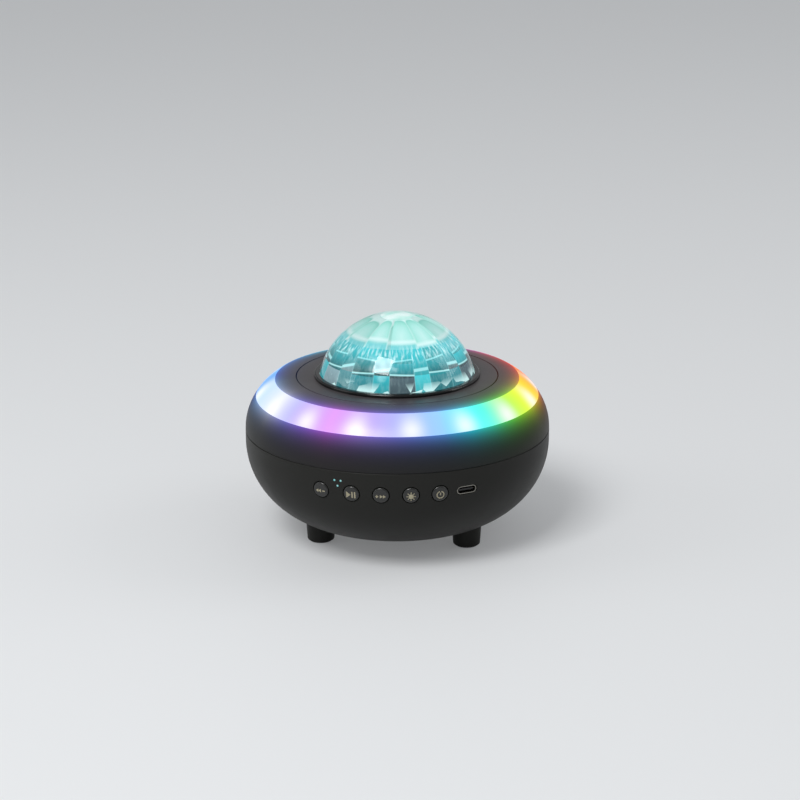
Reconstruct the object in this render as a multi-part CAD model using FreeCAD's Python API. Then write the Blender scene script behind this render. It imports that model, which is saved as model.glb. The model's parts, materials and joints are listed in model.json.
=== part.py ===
import FreeCAD, Part
import math
import os

# Star night light projector: a round dark bowl on three feet, with a glowing ring round its
# shoulder and a clear faceted dome on top. It is made piece by piece, as it comes apart.
# Millimetres. Origin on the table under the middle of the dome, +Z up, front with the buttons at -Y.
# An azimuth is an angle round the bowl, 0 at the front and positive towards +X.

# Body outline
BODY_R = 67.0
WALL = 2.4
BOWL_BOTTOM_Z = 6.6
BOWL_FLAT_R = 28.0
BOWL_WIDE_Z = 43.3
SEAM_Z = 48.2
SEAM_CHAMFER = 0.35
LIP_T, LIP_H = 1.1, 2.1
FIT_GAP = 0.1
SLIDE_GAP = 0.05
CLEARANCE = 0.25

# Glowing ring and top
RING_LOW_R, RING_LOW_Z = 62.1, 62.8
RING_HIGH_R, RING_HIGH_Z = 53.6, 70.4
RING_BULGE = 0.66
RING_SEAM, RING_LEG_T, RING_LEG_H = 0.35, 1.45, 2.6
RING_INNER_LOW_Z, RING_INNER_HIGH_R, RING_INNER_HIGH_Z = 61.8, 54.0, 67.3
RING_FLANGE_R, RING_FLANGE_TOP_Z = 52.7, 68.7
GROOVE_R, GROOVE_W = 44.25, 0.5
TOP_Z = 71.5
TOP_COVER_EDGE_Z = 70.4
TOP_COVER_BULGE, TOP_COVER_T = 0.12, 1.3
SKIRT_R, SKIRT_T = 51.0, 1.5
PLATE_T, PLATE_IN_R, PLATE_LEDGE = 1.5, 35.6, 1.9
COLLAR_R, COLLAR_TOP_Z, COLLAR_ROUND = 36.4, 73.0, 0.7

# Faceted dome
DOME_R = 35.2
DOME_CENTRE_Z = 64.0
DOME_BASE_Z = 68.5
DOME_FLANGE_R = 38.5
FACET_R = 32.5
FACET_ROWS_DEG = (25.5, 36.0, 47.0, 68.0)
FACET_PAIRS = 11
FACET_WIDE_DEG = 20.0

# Feet
FOOT_CIRCLE_R = 37.2
FOOT_AZIMUTHS = {"foot_left": -60.0, "foot_right": 60.0, "foot_rear": 180.0}
FOOT_LOW_R, FOOT_HIGH_R = 5.9, 6.8
FOOT_LOW_Z, FOOT_HIGH_Z, FOOT_ROUND = 0.5, 14.0, 0.7
PAD_R, PAD_T, PAD_ROUND = 5.0, 1.6, 0.3

# Controls
CONTROL_Z = 38.8
BUTTON_AZIMUTHS = {
    "button_previous": -22.7,
    "button_play": -10.8,
    "button_next": 0.0,
    "button_light": 10.8,
    "button_power": 21.4,
}
BUTTON_R = 3.45
BUTTON_GAP = 0.35
BUTTON_PROUD, BUTTON_ROUND = 0.5, 0.8
BUTTON_FLANGE_R, BUTTON_FLANGE_T = 4.8, 1.2
BUTTON_FLANGE_FRONT = 62.6
BUTTON_STEM_R = 1.6
SWITCH_FRONT = 55.5
SWITCH_SIDE, SWITCH_DEEP, SWITCH_TALL = 6.0, 4.2, 3.6
PLUNGER_R, PLUNGER_LENGTH = 1.2, 2.2
USB_AZIMUTH = 31.9
USB_W, USB_H, USB_DEEP = 8.94, 3.26, 7.35
USB_WALL, USB_GAP, USB_BACK_T = 0.3, 0.3, 1.0
USB_MOUTH_DEPTH = 0.6
TONGUE_W, TONGUE_T, TONGUE_L = 6.6, 0.7, 5.6
PIN_HOLE_R = 0.5
PIN_HOLE_AZIMUTH = -15.95
PIN_HOLES = ((-1.4, 44.0), (1.4, 44.0), (0.0, 41.65))
PIN_DEPTH = 0.15
PIPE_LOW_Z, PIPE_STEP_Z, STATUS_LIGHT_TOP_Z = 40.9, 43.3, 46.1
PIPE_FRONT, PIPE_T, PIPE_LOW_W, PIPE_HIGH_W = 0.4, 2.2, 2.2, 4.6
STATUS_LAMP_W, STATUS_LAMP_T, STATUS_LEG_R, STATUS_LEG_Z, STATUS_LEG_T = 3.0, 2.4, 49.5, 44.8, 0.5

# Inside levels
SHELF_Z, SHELF_T, SHELF_R = 58.5, 2.0, 46.0
DECK_R, DECK_T = 50.2, 2.0
DECK_SCREW_R, DECK_SCREW_AZIMUTHS = 47.8, (0, 120, 240)
BOARD_T = 1.6
BOARD_TOP_Z = CONTROL_Z - USB_H / 2
MAIN_BOARD_Z = BOARD_TOP_Z - BOARD_T
MAIN_BOARD_R = 57.0
MAIN_BOARD_REAR_Y = 12.0
MAIN_BOARD_HALF_W = 44.0
BOSS_R, WELL_R, SCREW_HOLE_R = 4.8, 3.7, 1.7
BOSS_TOP_Z, WELL_TOP_Z = 40.0, 33.0
SCREW_R, SCREW_HEAD_R, SCREW_HEAD_T, SCREW_TIP_Z = 1.45, 2.8, 1.8, 52.5
SCREW_PILOT_R, SCREW_PILOT_TOP_Z = 1.5, 54.5
SLOT_LONG, SLOT_WIDE, SLOT_DEEP, HEAD_ROUND = 3.2, 0.6, 0.9, 0.6
POST_R, POST_HOLE_R, POST_HOLE_DEEP, SCREW_CLEAR_R = 3.2, 1.1, 10.0, 1.3
SMALL_SCREW_L, SMALL_HEAD_R, SMALL_HEAD_T = 4.2, 2.2, 1.4
PORT_TAB_W, PORT_TAB_R = 10.0, 62.6
CHIPS = (
    (-8, -30, 9, 9, 1.4), (10, -28, 7, 5, 1.6), (-4, -8, 6, 4, 1.2),
    (22, -11, 5, 5, 1.0), (6, -16, 8, 3, 1.2),
)
CAPACITORS = ((-22, -20, 3.2, 8.0), (-14, -20, 3.2, 8.0), (26, -32, 2.5, 5.4))
BOARD_POSTS = ((-19.0, -37.0), (19.0, -37.0), (-38.0, 4.0), (38.0, 4.0))

# Light ring electronics
RING_BOARD_R = (53.2, 60.3)
RING_LED_COUNT = 16
RING_LED_R, RING_LED_SIDE, RING_LED_T = 57.0, 5.0, 1.6
RING_LED_CUP_R, RING_LED_CUP_DEEP = 2.0, 0.5
RING_BOARD_GAP = 3.0
EYE_SIDE, EYE_BACK_R, EYE_T, EYE_TALL, EYE_BEAD_R = 5.0, 54.6, 3.0, 3.4, 1.5

# Turning light engine
GEAR_MODULE = 1.0
ROTOR_TEETH, PINION_TEETH = 60, 12
PRESSURE_DEG = 25.0
TOOTH_THINNING = 0.12
ROTOR_BORE_R, ROTOR_SEAT_R = 24.9, 28.6
ROTOR_Z, ROTOR_TOOTH_T, ROTOR_T = 61.2, 3.0, 4.2
HUB_R, HUB_BORE_R, HUB_TOP_Z = 24.8, 23.0, 65.6
TRACK_R, TRACK_T = 26.0, 2.0
RETAINER_OVERLAP, RETAINER_T = 0.8, 0.8
MOTOR_AZIMUTH = 120.0
MOTOR_R, MOTOR_H, MOTOR_OFFSET = 12.0, 16.0, 5.0
MOTOR_EAR_T, MOTOR_EAR_REACH, MOTOR_EAR_HALF, MOTOR_ROUND = 0.8, 15.5, 3.5, 1.0
MOTOR_NOSE_R, MOTOR_NOSE_T = 4.4, 1.2
SHAFT_R, SHAFT_DEPTH, SHAFT_ABOVE = 2.5, 8.5, 2.4
PINION_OVERLAP, PINION_BOSS_R, PINION_BOSS_T = 0.2, 4.0, 1.6
LASER_R, LASER_DEPTH, LASER_ABOVE = 4.0, 8.5, 0.4
LASER_LENS_R, LASER_LENS_EDGE, LASER_LENS_T, LASER_MOUTH, LASER_BORE = 2.6, 0.8, 1.2, 1.6, 6.0
LASER_BEAM_R = 1.2
LED_RING_R, LED_BASE, LED_BASE_T, LED_DOME_R, LED_DOME_Z = 13.0, 5.2, 0.9, 2.2, 0.5
LED_TURNS = (45, 135, 225, 315)
SINK_R, SINK_BASE_T, SINK_H, FIN_T, FIN_PITCH, FIN_REACH = 18.0, 3.0, 11.0, 1.4, 4, 16
RIPPLE_RIM, RIPPLE_RISE, RIPPLE_WALL, RIPPLE_COUNT, RIPPLE_DEPTH = 1.6, 10.0, 1.8, 6, 0.35
GRATING_R, GRATING_T, GRATING_POCKET, GRATING_LAND = 5.5, 0.6, 0.8, 1.0

# Speaker
GRILLE_R, GRILLE_STEP, GRILLE_T, GRILLE_RIM_T = 24.8, 0.2, 1.5, 1.4
GRILLE_HOLE_R, GRILLE_PITCH, GRILLE_RINGS = 1.0, 4.0, 5
SPEAKER_Z = 10.2
SPEAKER_R, MAGNET_R, MAGNET_T, MAGNET_BACK_T = 27.0, 14.0, 6.0, 2.0
GASKET_R, GASKET_T = 23.5, 0.8
FRAME_Z = SPEAKER_Z + GASKET_T
BASKET_H = 11.0
ROLL_IN_R, ROLL_OUT_R, ROLL_T, ROLL_DROP = 18.2, 22.0, 0.5, 1.0
COIL_R, COIL_T, COIL_H, POLE_R, MAGNET_BORE_R = 6.9, 0.5, 4.4, 6.4, 8.2
CONE_T, CAP_RISE = 0.7, 2.2
TERMINAL_W, TERMINAL_D, TERMINAL_STEP = 5.0, 3.0, 2.0
FRAME_T, FRAME_NECK, FRAME_SHOULDER, WINDOW_HALF, WINDOW_EDGE = 1.0, 1.5, 2.0, 5.0, 2.8
MAGNET_GAP, BACK_EDGE = 0.2, 1.5
ROLL_Z, CONE_Z, CONE_H = 0.4, 0.5, 5.6
SPEAKER_SCREW_R, SPEAKER_SCREW_HOLE_R, SPEAKER_SCREW_TIP_Z = 25.4, 1.1, 7.6
SPEAKER_SCREW_AZIMUTHS = (45, 135, 225, 315)
SPEAKER_SCREW_HEAD_R, SPEAKER_SCREW_HEAD_T = 1.6, 1.0

# Leads inside, each from where it starts to the top of its socket on the main board
LEAD_R, LEAD_WAY_R = 0.6, 1.2
SOCKET_W, SOCKET_D = 6.0, 4.0
SOCKET_Z = BOARD_TOP_Z + 3.4
HUMP_Z = SOCKET_Z + 9.0
SPEAKER_LEAD = (
    (-13, 17, 19), (-13, 17, 27), (-15, 19, 35), (-19, 17, 43),
    (-23, 11.5, HUMP_Z), (-25, 3, HUMP_Z), (-25, 3, SOCKET_Z),
)
LIGHT_LEAD = (
    (-17.8, 10.2, 60.5), (-17.8, 10.2, 54), (-20.5, 6, 49),
    (-24, -6, HUMP_Z), (-24, -6, SOCKET_Z),
)
RING_LEAD = (
    (-55.5, 0, SHELF_Z), (-55.5, 0, 52.5), (-50, -3, HUMP_Z),
    (-40.5, -6, HUMP_Z), (-40.5, -6, SOCKET_Z),
)
MOTOR_LEAD = (
    (23.25, 4.05, 47), (21.35, -1.95, 47), (21, -8.3, HUMP_Z),
    (21.5, -16.8, HUMP_Z), (21.5, -16.8, SOCKET_Z),
)

Y_AXIS = FreeCAD.Vector(0, 1, 0)
Z_AXIS = FreeCAD.Vector(0, 0, 1)
ORIGIN = FreeCAD.Vector(0, 0, 0)
FAR = 200.0


def vec(x, y, z):
    return FreeCAD.Vector(x, y, z)


def around(shape, azimuth):
    """A copy of a shape made at the front, turned to an azimuth."""
    copy = shape.copy()
    copy.rotate(ORIGIN, Z_AXIS, azimuth)
    return copy


def place(azimuth, radius):
    """The x and y of a point at an azimuth and a radius."""
    a = math.radians(azimuth)
    return radius * math.sin(a), -radius * math.cos(a)


def disc(radius, z0, z1, x=0.0, y=0.0):
    return Part.makeCylinder(radius, z1 - z0, vec(x, y, z0), Z_AXIS)


def tube(r_in, r_out, z0, z1, x=0.0, y=0.0):
    return disc(r_out, z0, z1, x, y).cut(disc(r_in, z0 - 1, z1 + 1, x, y))


def box(x0, x1, y0, y1, z0, z1):
    return Part.makeBox(x1 - x0, y1 - y0, z1 - z0, vec(x0, y0, z0))


def rod_y(radius, x, z, y0, y1):
    """A cylinder that runs front to back."""
    return Part.makeCylinder(radius, y1 - y0, vec(x, y0, z), Y_AXIS)


def turned(start, *steps):
    """A solid of revolution about Z. Each step is a line to (r, z), an arc through one point to
    another, or a ready edge with its end point."""
    edges = []
    here = start
    for step in steps + (start,):
        if isinstance(step[0], Part.Edge):
            edges.append(step[0])
            here = step[1]
        elif isinstance(step[0], tuple):
            through, end = step
            arc = Part.Arc(vec(here[0], 0, here[1]), vec(through[0], 0, through[1]), vec(end[0], 0, end[1]))
            edges.append(arc.toShape())
            here = end
        elif step != here:
            edges.append(Part.LineSegment(vec(here[0], 0, here[1]), vec(step[0], 0, step[1])).toShape())
            here = step
    face = Part.Face(Part.Wire(Part.__sortEdges__(edges)))
    return face.revolve(ORIGIN, Z_AXIS, 360)


def bulged(a, b, rise):
    """The middle point of an arc from a to b that stands out by rise, to the left of the way there."""
    dx, dz = b[0] - a[0], b[1] - a[1]
    length = math.hypot(dx, dz)
    return (a[0] + b[0]) / 2 + rise * dz / length, (a[1] + b[1]) / 2 - rise * dx / length


def bowl_arc(inset, from_top):
    """The quarter ellipse of the bowl, inset from the outside, and its ends at the wide band and the flat."""
    centre = vec(BOWL_FLAT_R, 0, BOWL_WIDE_Z)
    across = BODY_R - BOWL_FLAT_R - inset
    down = BOWL_WIDE_Z - BOWL_BOTTOM_Z - inset
    ellipse = Part.Ellipse(centre + vec(across, 0, 0), centre - vec(0, 0, down), centre)
    edge = Part.ArcOfEllipse(ellipse, 0, math.pi / 2).toShape()
    top = (BODY_R - inset, BOWL_WIDE_Z)
    low = (BOWL_FLAT_R, BOWL_BOTTOM_Z + inset)
    return (edge, low) if from_top else (edge, top)


def bowl_radius(z, inset=0.0):
    """The bowl's radius at a height below its wide band."""
    if z >= BOWL_WIDE_Z:
        return BODY_R - inset
    across = BODY_R - BOWL_FLAT_R - inset
    down = BOWL_WIDE_Z - BOWL_BOTTOM_Z - inset
    return BOWL_FLAT_R + across * math.sqrt(max(0.0, 1 - ((BOWL_WIDE_Z - z) / down) ** 2))


def bowl_solid(inset=0.0):
    """The space inside the bowl's outer or inner surface, up to the seam."""
    low = (BOWL_FLAT_R, BOWL_BOTTOM_Z + inset)
    return turned((0, low[1]), low, bowl_arc(inset, False), (BODY_R - inset, SEAM_Z), (0, SEAM_Z))


def shoulder_arc(inset, z0, z1):
    """The shoulder above the seam, an arc that leaves the wide band upright and ends at the ring."""
    step, rise = BODY_R - RING_LOW_R, RING_LOW_Z - SEAM_Z
    radius = (step**2 + rise**2) / (2 * step)
    centre_r = BODY_R - radius

    def at(z):
        return centre_r + math.sqrt((radius - inset) ** 2 - (z - SEAM_Z) ** 2), z

    return at(z0), at((z0 + z1) / 2), at(z1)


def fuse_all(shapes):
    whole = shapes[0]
    for other in shapes[1:]:
        whole = whole.fuse(other)
    return whole.removeSplitter()


def group(shapes):
    """Separate solids that share one node."""
    return Part.makeCompound([s for shape in shapes for s in shape.Solids])


def screw(x, y, head_z, tip_z, shank_r, head_r, head_t):
    """A pan head screw, its head's seat at head_z and its tip at tip_z, either way up."""
    down = tip_z < head_z
    low, high = (tip_z, head_z) if down else (head_z, tip_z)
    shank = disc(shank_r, low, high, x, y)
    seat = head_z if down else head_z - head_t
    head = disc(head_r, seat, seat + head_t, x, y)
    rim = max if down else min
    face_z = rim(v.Point.z for v in head.Vertexes)
    edges = [e for e in head.Edges if abs(e.BoundBox.ZMax - face_z) < 0.01 and e.BoundBox.ZLength < 0.01]
    head = head.makeFillet(HEAD_ROUND, edges)
    slot_z = (face_z - SLOT_DEEP, face_z + 1) if down else (face_z - 1, face_z + SLOT_DEEP)
    long, wide = SLOT_LONG / 2, SLOT_WIDE / 2
    slots = [box(x - a, x + a, y - b, y + b, *slot_z) for a, b in ((long, wide), (wide, long))]
    return fuse_all([head.cut(slots), shank])


# Places that several pieces share

def cap_point(rim, top_z, share):
    """A point on the round cap from a rim (r, z) to its top on the axis, at a share of the rim's radius."""
    rim_r, rim_z = rim
    rise = top_z - rim_z
    ball_r = (rim_r**2 + rise**2) / (2 * abs(rise))
    drop = ball_r - math.sqrt(ball_r**2 - (share * rim_r) ** 2)
    return share * rim_r, top_z - math.copysign(drop, rise)


def gear_distance():
    return GEAR_MODULE * (ROTOR_TEETH + PINION_TEETH) / 2


def motor_place():
    """The x and y of the motor's shaft."""
    return place(MOTOR_AZIMUTH, gear_distance())


def boss_places():
    return [place(a, FOOT_CIRCLE_R) for a in FOOT_AZIMUTHS.values()]


# Shells

def usb_slot(width, height, length, radius_in):
    """A rounded slot through the wall at the port, running inwards to outwards."""
    half = (width - height) / 2
    y0, y1 = -radius_in - length, -radius_in
    middle = box(-half, half, y0, y1, CONTROL_Z - height / 2, CONTROL_Z + height / 2)
    ends = [rod_y(height / 2, s * half, CONTROL_Z, y0, y1) for s in (-1, 1)]
    return around(fuse_all([middle] + ends), USB_AZIMUTH)


def lower_housing():
    inner_r = BODY_R - WALL
    lip_z = SEAM_Z - LIP_H
    lip_r = BODY_R - LIP_T
    floor_z = BOWL_BOTTOM_Z + WALL
    opening_r = GRILLE_R + FIT_GAP
    shell = turned(
        (opening_r, BOWL_BOTTOM_Z),
        (BOWL_FLAT_R, BOWL_BOTTOM_Z),
        bowl_arc(0, False),
        (BODY_R, SEAM_Z - SEAM_CHAMFER),
        (BODY_R - SEAM_CHAMFER, SEAM_Z),
        (lip_r, SEAM_Z),
        (lip_r, lip_z),
        (inner_r, lip_z),
        (inner_r, BOWL_WIDE_Z),
        bowl_arc(WALL, True),
        (opening_r, floor_z),
    )
    inside = bowl_solid(WALL / 2)
    bosses = [disc(BOSS_R, 0, BOSS_TOP_Z, x, y).common(inside) for x, y in boss_places()]
    posts = [disc(POST_R, 0, MAIN_BOARD_Z, x, y).common(inside) for x, y in BOARD_POSTS]
    body = fuse_all([shell] + bosses + posts)
    wells = [disc(WELL_R, 0, WELL_TOP_Z, x, y) for x, y in boss_places()]
    wells += [disc(SCREW_HOLE_R, 0, SEAM_Z, x, y) for x, y in boss_places()]
    pilot_z = (MAIN_BOARD_Z - POST_HOLE_DEEP, SEAM_Z)
    pilots = [disc(POST_HOLE_R, *pilot_z, x, y) for x, y in BOARD_POSTS]
    button_hole = rod_y(BUTTON_R + BUTTON_GAP, 0, CONTROL_Z, -FAR, -MAIN_BOARD_R)
    buttons = [around(button_hole, a) for a in BUTTON_AZIMUTHS.values()]
    screw_hole = disc(SPEAKER_SCREW_HOLE_R, SPEAKER_SCREW_TIP_Z, FAR, 0, -SPEAKER_SCREW_R)
    speaker_pilots = [around(screw_hole, a) for a in SPEAKER_SCREW_AZIMUTHS]
    port = usb_slot(USB_W + 2 * USB_GAP, USB_H + 2 * USB_GAP, FAR, MAIN_BOARD_R)
    pins = [around(rod_y(PIN_HOLE_R, x, z, -FAR, -MAIN_BOARD_R), PIN_HOLE_AZIMUTH) for x, z in PIN_HOLES]
    return body.cut(wells + pilots + buttons + speaker_pilots + [port] + pins)


def upper_housing():
    inner_r = BODY_R - WALL
    tongue_r = BODY_R - LIP_T - FIT_GAP
    tongue_z = SEAM_Z - LIP_H + FIT_GAP
    start, mid, end = shoulder_arc(0, SEAM_Z + SEAM_CHAMFER, RING_LOW_Z)
    ledge_z = RING_LOW_Z - RING_LEG_H
    shelf_low_z = SHELF_Z - SHELF_T
    inner_high, inner_mid, inner_low = reversed(shoulder_arc(WALL, SEAM_Z, shelf_low_z))
    upper_wall = shoulder_arc(WALL, SHELF_Z, ledge_z)
    shell = turned(
        (tongue_r, SEAM_Z),
        (BODY_R - SEAM_CHAMFER, SEAM_Z),
        start,
        (mid, end),
        (RING_LOW_R - RING_SEAM, RING_LOW_Z),
        (RING_LOW_R - RING_SEAM, ledge_z),
        upper_wall[2],
        upper_wall[0],
        (SHELF_R, SHELF_Z),
        (SHELF_R, shelf_low_z),
        inner_high,
        (inner_mid, inner_low),
        (inner_r, tongue_z),
        (tongue_r, tongue_z),
    )
    tabs = []
    for azimuth in FOOT_AZIMUTHS.values():
        tab = box(-BOSS_R, BOSS_R, -SHELF_R - 2, -FOOT_CIRCLE_R, shelf_low_z - 1, SHELF_Z)
        tabs.append(around(tab, azimuth))
    posts = [disc(BOSS_R, BOSS_TOP_Z + FIT_GAP, SHELF_Z, x, y) for x, y in boss_places()]
    pilots = [disc(SCREW_PILOT_R, 0, SCREW_PILOT_TOP_Z, x, y) for x, y in boss_places()]
    deck_pilots = [around(disc(POST_HOLE_R, 0, FAR, 0, -DECK_SCREW_R), a) for a in DECK_SCREW_AZIMUTHS]
    lead_way = disc(LEAD_WAY_R, 0, FAR, *RING_LEAD[0][:2])
    return fuse_all([shell] + tabs + posts).cut(pilots + deck_pilots + [lead_way])


def light_ring():
    """The milky ring: a leg that stands in the upper housing, a curved wall, and a flange under the cover."""
    low, high = (RING_LOW_R, RING_LOW_Z), (RING_HIGH_R + SLIDE_GAP, RING_HIGH_Z)
    leg_out = RING_LOW_R - RING_SEAM - FIT_GAP
    leg_in = leg_out - RING_LEG_T
    leg_z = RING_LOW_Z - RING_LEG_H
    in_high = (RING_INNER_HIGH_R, RING_INNER_HIGH_Z)
    in_low = (leg_in, RING_INNER_LOW_Z)
    return turned(
        (leg_out, leg_z),
        (leg_out, RING_LOW_Z),
        low,
        (bulged(low, high, RING_BULGE), high),
        (high[0], RING_FLANGE_TOP_Z),
        (RING_FLANGE_R, RING_FLANGE_TOP_Z),
        (RING_FLANGE_R, RING_INNER_HIGH_Z),
        in_high,
        (bulged(in_high, in_low, -RING_BULGE), in_low),
        (leg_in, leg_z),
    )


def top_cover():
    """The outer ring of the top, with a ledge for the dome's plate and a skirt that stands on the shelf."""
    rim_r = RING_HIGH_R - SLIDE_GAP
    inner_r = GROOVE_R + GROOVE_W / 2
    rim_low_z = RING_FLANGE_TOP_Z + FIT_GAP
    ledge_z = TOP_Z - PLATE_T
    under_z = ledge_z - TOP_COVER_T
    edge, inner_edge = (rim_r, TOP_COVER_EDGE_Z), (inner_r + FIT_GAP, TOP_Z)
    return turned(
        edge,
        (bulged(edge, inner_edge, TOP_COVER_BULGE), inner_edge),
        (inner_r, TOP_Z - FIT_GAP),
        (inner_r, ledge_z),
        (inner_r - PLATE_LEDGE, ledge_z),
        (inner_r - PLATE_LEDGE, under_z),
        (SKIRT_R, under_z),
        (SKIRT_R, SHELF_Z),
        (SKIRT_R + SKIRT_T, SHELF_Z),
        (SKIRT_R + SKIRT_T, rim_low_z),
        (rim_r, rim_low_z),
    )


def dome_plate():
    outer_r = GROOVE_R - GROOVE_W / 2
    low_z = TOP_Z - PLATE_T
    return turned(
        (PLATE_IN_R, low_z),
        (outer_r, low_z),
        (outer_r, TOP_Z - FIT_GAP),
        (outer_r - FIT_GAP, TOP_Z),
        (PLATE_IN_R, TOP_Z),
    )


def collar_in_r(z):
    """The collar's bore follows the dome, a fit gap away from it."""
    return math.sqrt(DOME_R**2 - (z - DOME_CENTRE_Z) ** 2) + FIT_GAP


def dome_collar():
    """The raised ring that hugs the dome, rounded along its outer edge."""
    shift = COLLAR_ROUND * (1 - math.sqrt(0.5))
    round_mid = (COLLAR_R - shift, COLLAR_TOP_Z - shift)
    return turned(
        (collar_in_r(TOP_Z), TOP_Z),
        (COLLAR_R, TOP_Z),
        (COLLAR_R, COLLAR_TOP_Z - COLLAR_ROUND),
        (round_mid, (COLLAR_R - COLLAR_ROUND, COLLAR_TOP_Z)),
        (collar_in_r(COLLAR_TOP_Z), COLLAR_TOP_Z),
    )


def facet_azimuths():
    """The edges of the dome's wide and narrow columns."""
    pair = 360.0 / FACET_PAIRS
    return [k * pair + edge for k in range(FACET_PAIRS) for edge in (0.0, FACET_WIDE_DEG)]


def facet_block():
    """The faceted hollow of the dome: flat four-sided facets between rings of corners."""
    base_z = DOME_BASE_Z - 1
    rows = [(math.sqrt(FACET_R**2 - (base_z - DOME_CENTRE_Z) ** 2), base_z)]
    for elevation in FACET_ROWS_DEG:
        e = math.radians(elevation)
        rows.append((FACET_R * math.cos(e), DOME_CENTRE_Z + FACET_R * math.sin(e)))
    rings = []
    for radius, z in rows:
        rings.append([vec(*place(a, radius), z) for a in facet_azimuths()])
    count = len(rings[0])
    faces = []
    for low, high in zip(rings, rings[1:]):
        for k in range(count):
            n = (k + 1) % count
            corners = [low[k], low[n], high[n], high[k], low[k]]
            faces.append(Part.Face(Part.makePolygon(corners)))
    for ring in (rings[0], rings[-1]):
        faces.append(Part.Face(Part.makePolygon(ring + ring[:1])))
    solid = Part.Solid(Part.Shell(faces))
    if solid.Volume < 0:
        solid.reverse()
    return solid


def dome_lens():
    ball = Part.makeSphere(DOME_R, vec(0, 0, DOME_CENTRE_Z))
    cap = ball.cut(box(-FAR, FAR, -FAR, FAR, -FAR, DOME_BASE_Z))
    flange = disc(DOME_FLANGE_R, DOME_BASE_Z, TOP_Z - PLATE_T)
    return cap.fuse(flange).removeSplitter().cut(facet_block())


# Base, feet and speaker

def speaker_grille():
    """The round plate of holes in the flat of the bowl, set in from inside on its flange."""
    low_z = BOWL_BOTTOM_Z + GRILLE_STEP
    plate = disc(GRILLE_R, low_z, low_z + GRILLE_T)
    rim = tube(GRILLE_R - GRILLE_RIM_T, GRILLE_R, low_z, SPEAKER_Z)
    flange = tube(GRILLE_R - GRILLE_RIM_T, SPEAKER_R, BOWL_BOTTOM_Z + WALL, SPEAKER_Z)
    holes = [disc(GRILLE_HOLE_R, 0, SPEAKER_Z)]
    for ring in range(1, GRILLE_RINGS + 1):
        for k in range(6 * ring):
            x, y = place(360.0 * k / (6 * ring), ring * GRILLE_PITCH)
            holes.append(disc(GRILLE_HOLE_R, 0, SPEAKER_Z, x, y))
    return fuse_all([plate, rim, flange]).cut(holes + speaker_screw_holes())


def foot(azimuth):
    x, y = place(azimuth, FOOT_CIRCLE_R)
    height = FOOT_HIGH_Z - FOOT_LOW_Z
    cone = Part.makeCone(FOOT_LOW_R, FOOT_HIGH_R, height, vec(x, y, FOOT_LOW_Z), Z_AXIS)
    rim = [e for e in cone.Edges if abs(e.BoundBox.ZMax - FOOT_LOW_Z) < 0.01]
    cone = cone.makeFillet(FOOT_ROUND, rim)
    pocket = disc(PAD_R + SLIDE_GAP, 0, PAD_T, x, y)
    well = disc(WELL_R, 0, FAR, x, y)
    return cone.cut([bowl_solid(), pocket, well])


def foot_pads():
    pads = []
    for x, y in boss_places():
        pad = disc(PAD_R, 0, PAD_T, x, y)
        rim = [e for e in pad.Edges if e.BoundBox.ZMax < 0.01]
        pads.append(pad.makeFillet(PAD_ROUND, rim))
    return group(pads)


def speaker_screw_holes():
    hole = disc(SPEAKER_SCREW_HOLE_R, 0, FRAME_Z + BASKET_H, 0, -SPEAKER_SCREW_R)
    return [around(hole, a) for a in SPEAKER_SCREW_AZIMUTHS]


def speaker_gasket():
    return tube(GASKET_R, SPEAKER_R, SPEAKER_Z, FRAME_Z).cut(speaker_screw_holes())


def speaker_frame():
    """The loudspeaker's basket, with four windows and a block that its lead is soldered to."""
    z, t = FRAME_Z, FRAME_T
    high_z = z + BASKET_H
    shoulder_z = high_z - FRAME_SHOULDER
    frame = turned(
        (ROLL_OUT_R, z),
        (SPEAKER_R, z),
        (SPEAKER_R, z + t),
        (ROLL_OUT_R + t, z + t),
        (MAGNET_R + FRAME_NECK, shoulder_z),
        (MAGNET_R + FRAME_NECK, high_z),
        (MAGNET_BORE_R, high_z),
        (MAGNET_BORE_R, high_z - t),
        (MAGNET_R + MAGNET_GAP, high_z - t),
        (MAGNET_R + MAGNET_GAP, shoulder_z - t / 2),
        (ROLL_OUT_R, z + t),
    )
    half, edge = WINDOW_HALF, WINDOW_EDGE
    window = box(-half, half, -ROLL_OUT_R, -MAGNET_R - FRAME_SHOULDER, z + edge, high_z - edge)
    windows = [around(window, a) for a in (0, 90, 180, 270)]
    x, y, top_z = SPEAKER_LEAD[0]
    half, y0 = TERMINAL_W / 2, y - 2 * LEAD_R
    terminal = box(x - half, x + half, y0, y0 + TERMINAL_D, z + TERMINAL_STEP, top_z)
    return fuse_all([frame.cut(windows + speaker_screw_holes()), terminal])


def speaker_surround():
    """The rubber roll between the cone and the frame."""
    low_z, high_z = FRAME_Z + ROLL_Z, FRAME_Z + ROLL_Z + ROLL_T
    middle_r = (ROLL_IN_R + ROLL_OUT_R) / 2
    return turned(
        (ROLL_IN_R, high_z),
        (ROLL_IN_R, low_z),
        ((middle_r, low_z - ROLL_DROP), (ROLL_OUT_R, low_z)),
        (ROLL_OUT_R, high_z),
        ((middle_r, high_z - ROLL_DROP), (ROLL_IN_R, high_z)),
    )


def speaker_cone():
    """The cone with its dust cap and voice coil, thin all over."""
    rim_z = FRAME_Z + CONE_Z
    coil_r = COIL_R + COIL_T
    low, high = (coil_r, rim_z + CONE_H), (coil_r, rim_z + CONE_H + CONE_T)
    cone = turned(low, (ROLL_IN_R, rim_z), (ROLL_IN_R, rim_z + CONE_T), high)
    cap_z = low[1] - CAP_RISE
    cap = turned(
        (0, cap_z),
        (cap_point(low, cap_z, 0.5), low),
        high,
        (cap_point(high, cap_z + CONE_T, 0.5), (0, cap_z + CONE_T)),
    )
    coil = tube(COIL_R, coil_r, low[1], low[1] + COIL_H)
    return fuse_all([cone, cap, coil])


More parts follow.
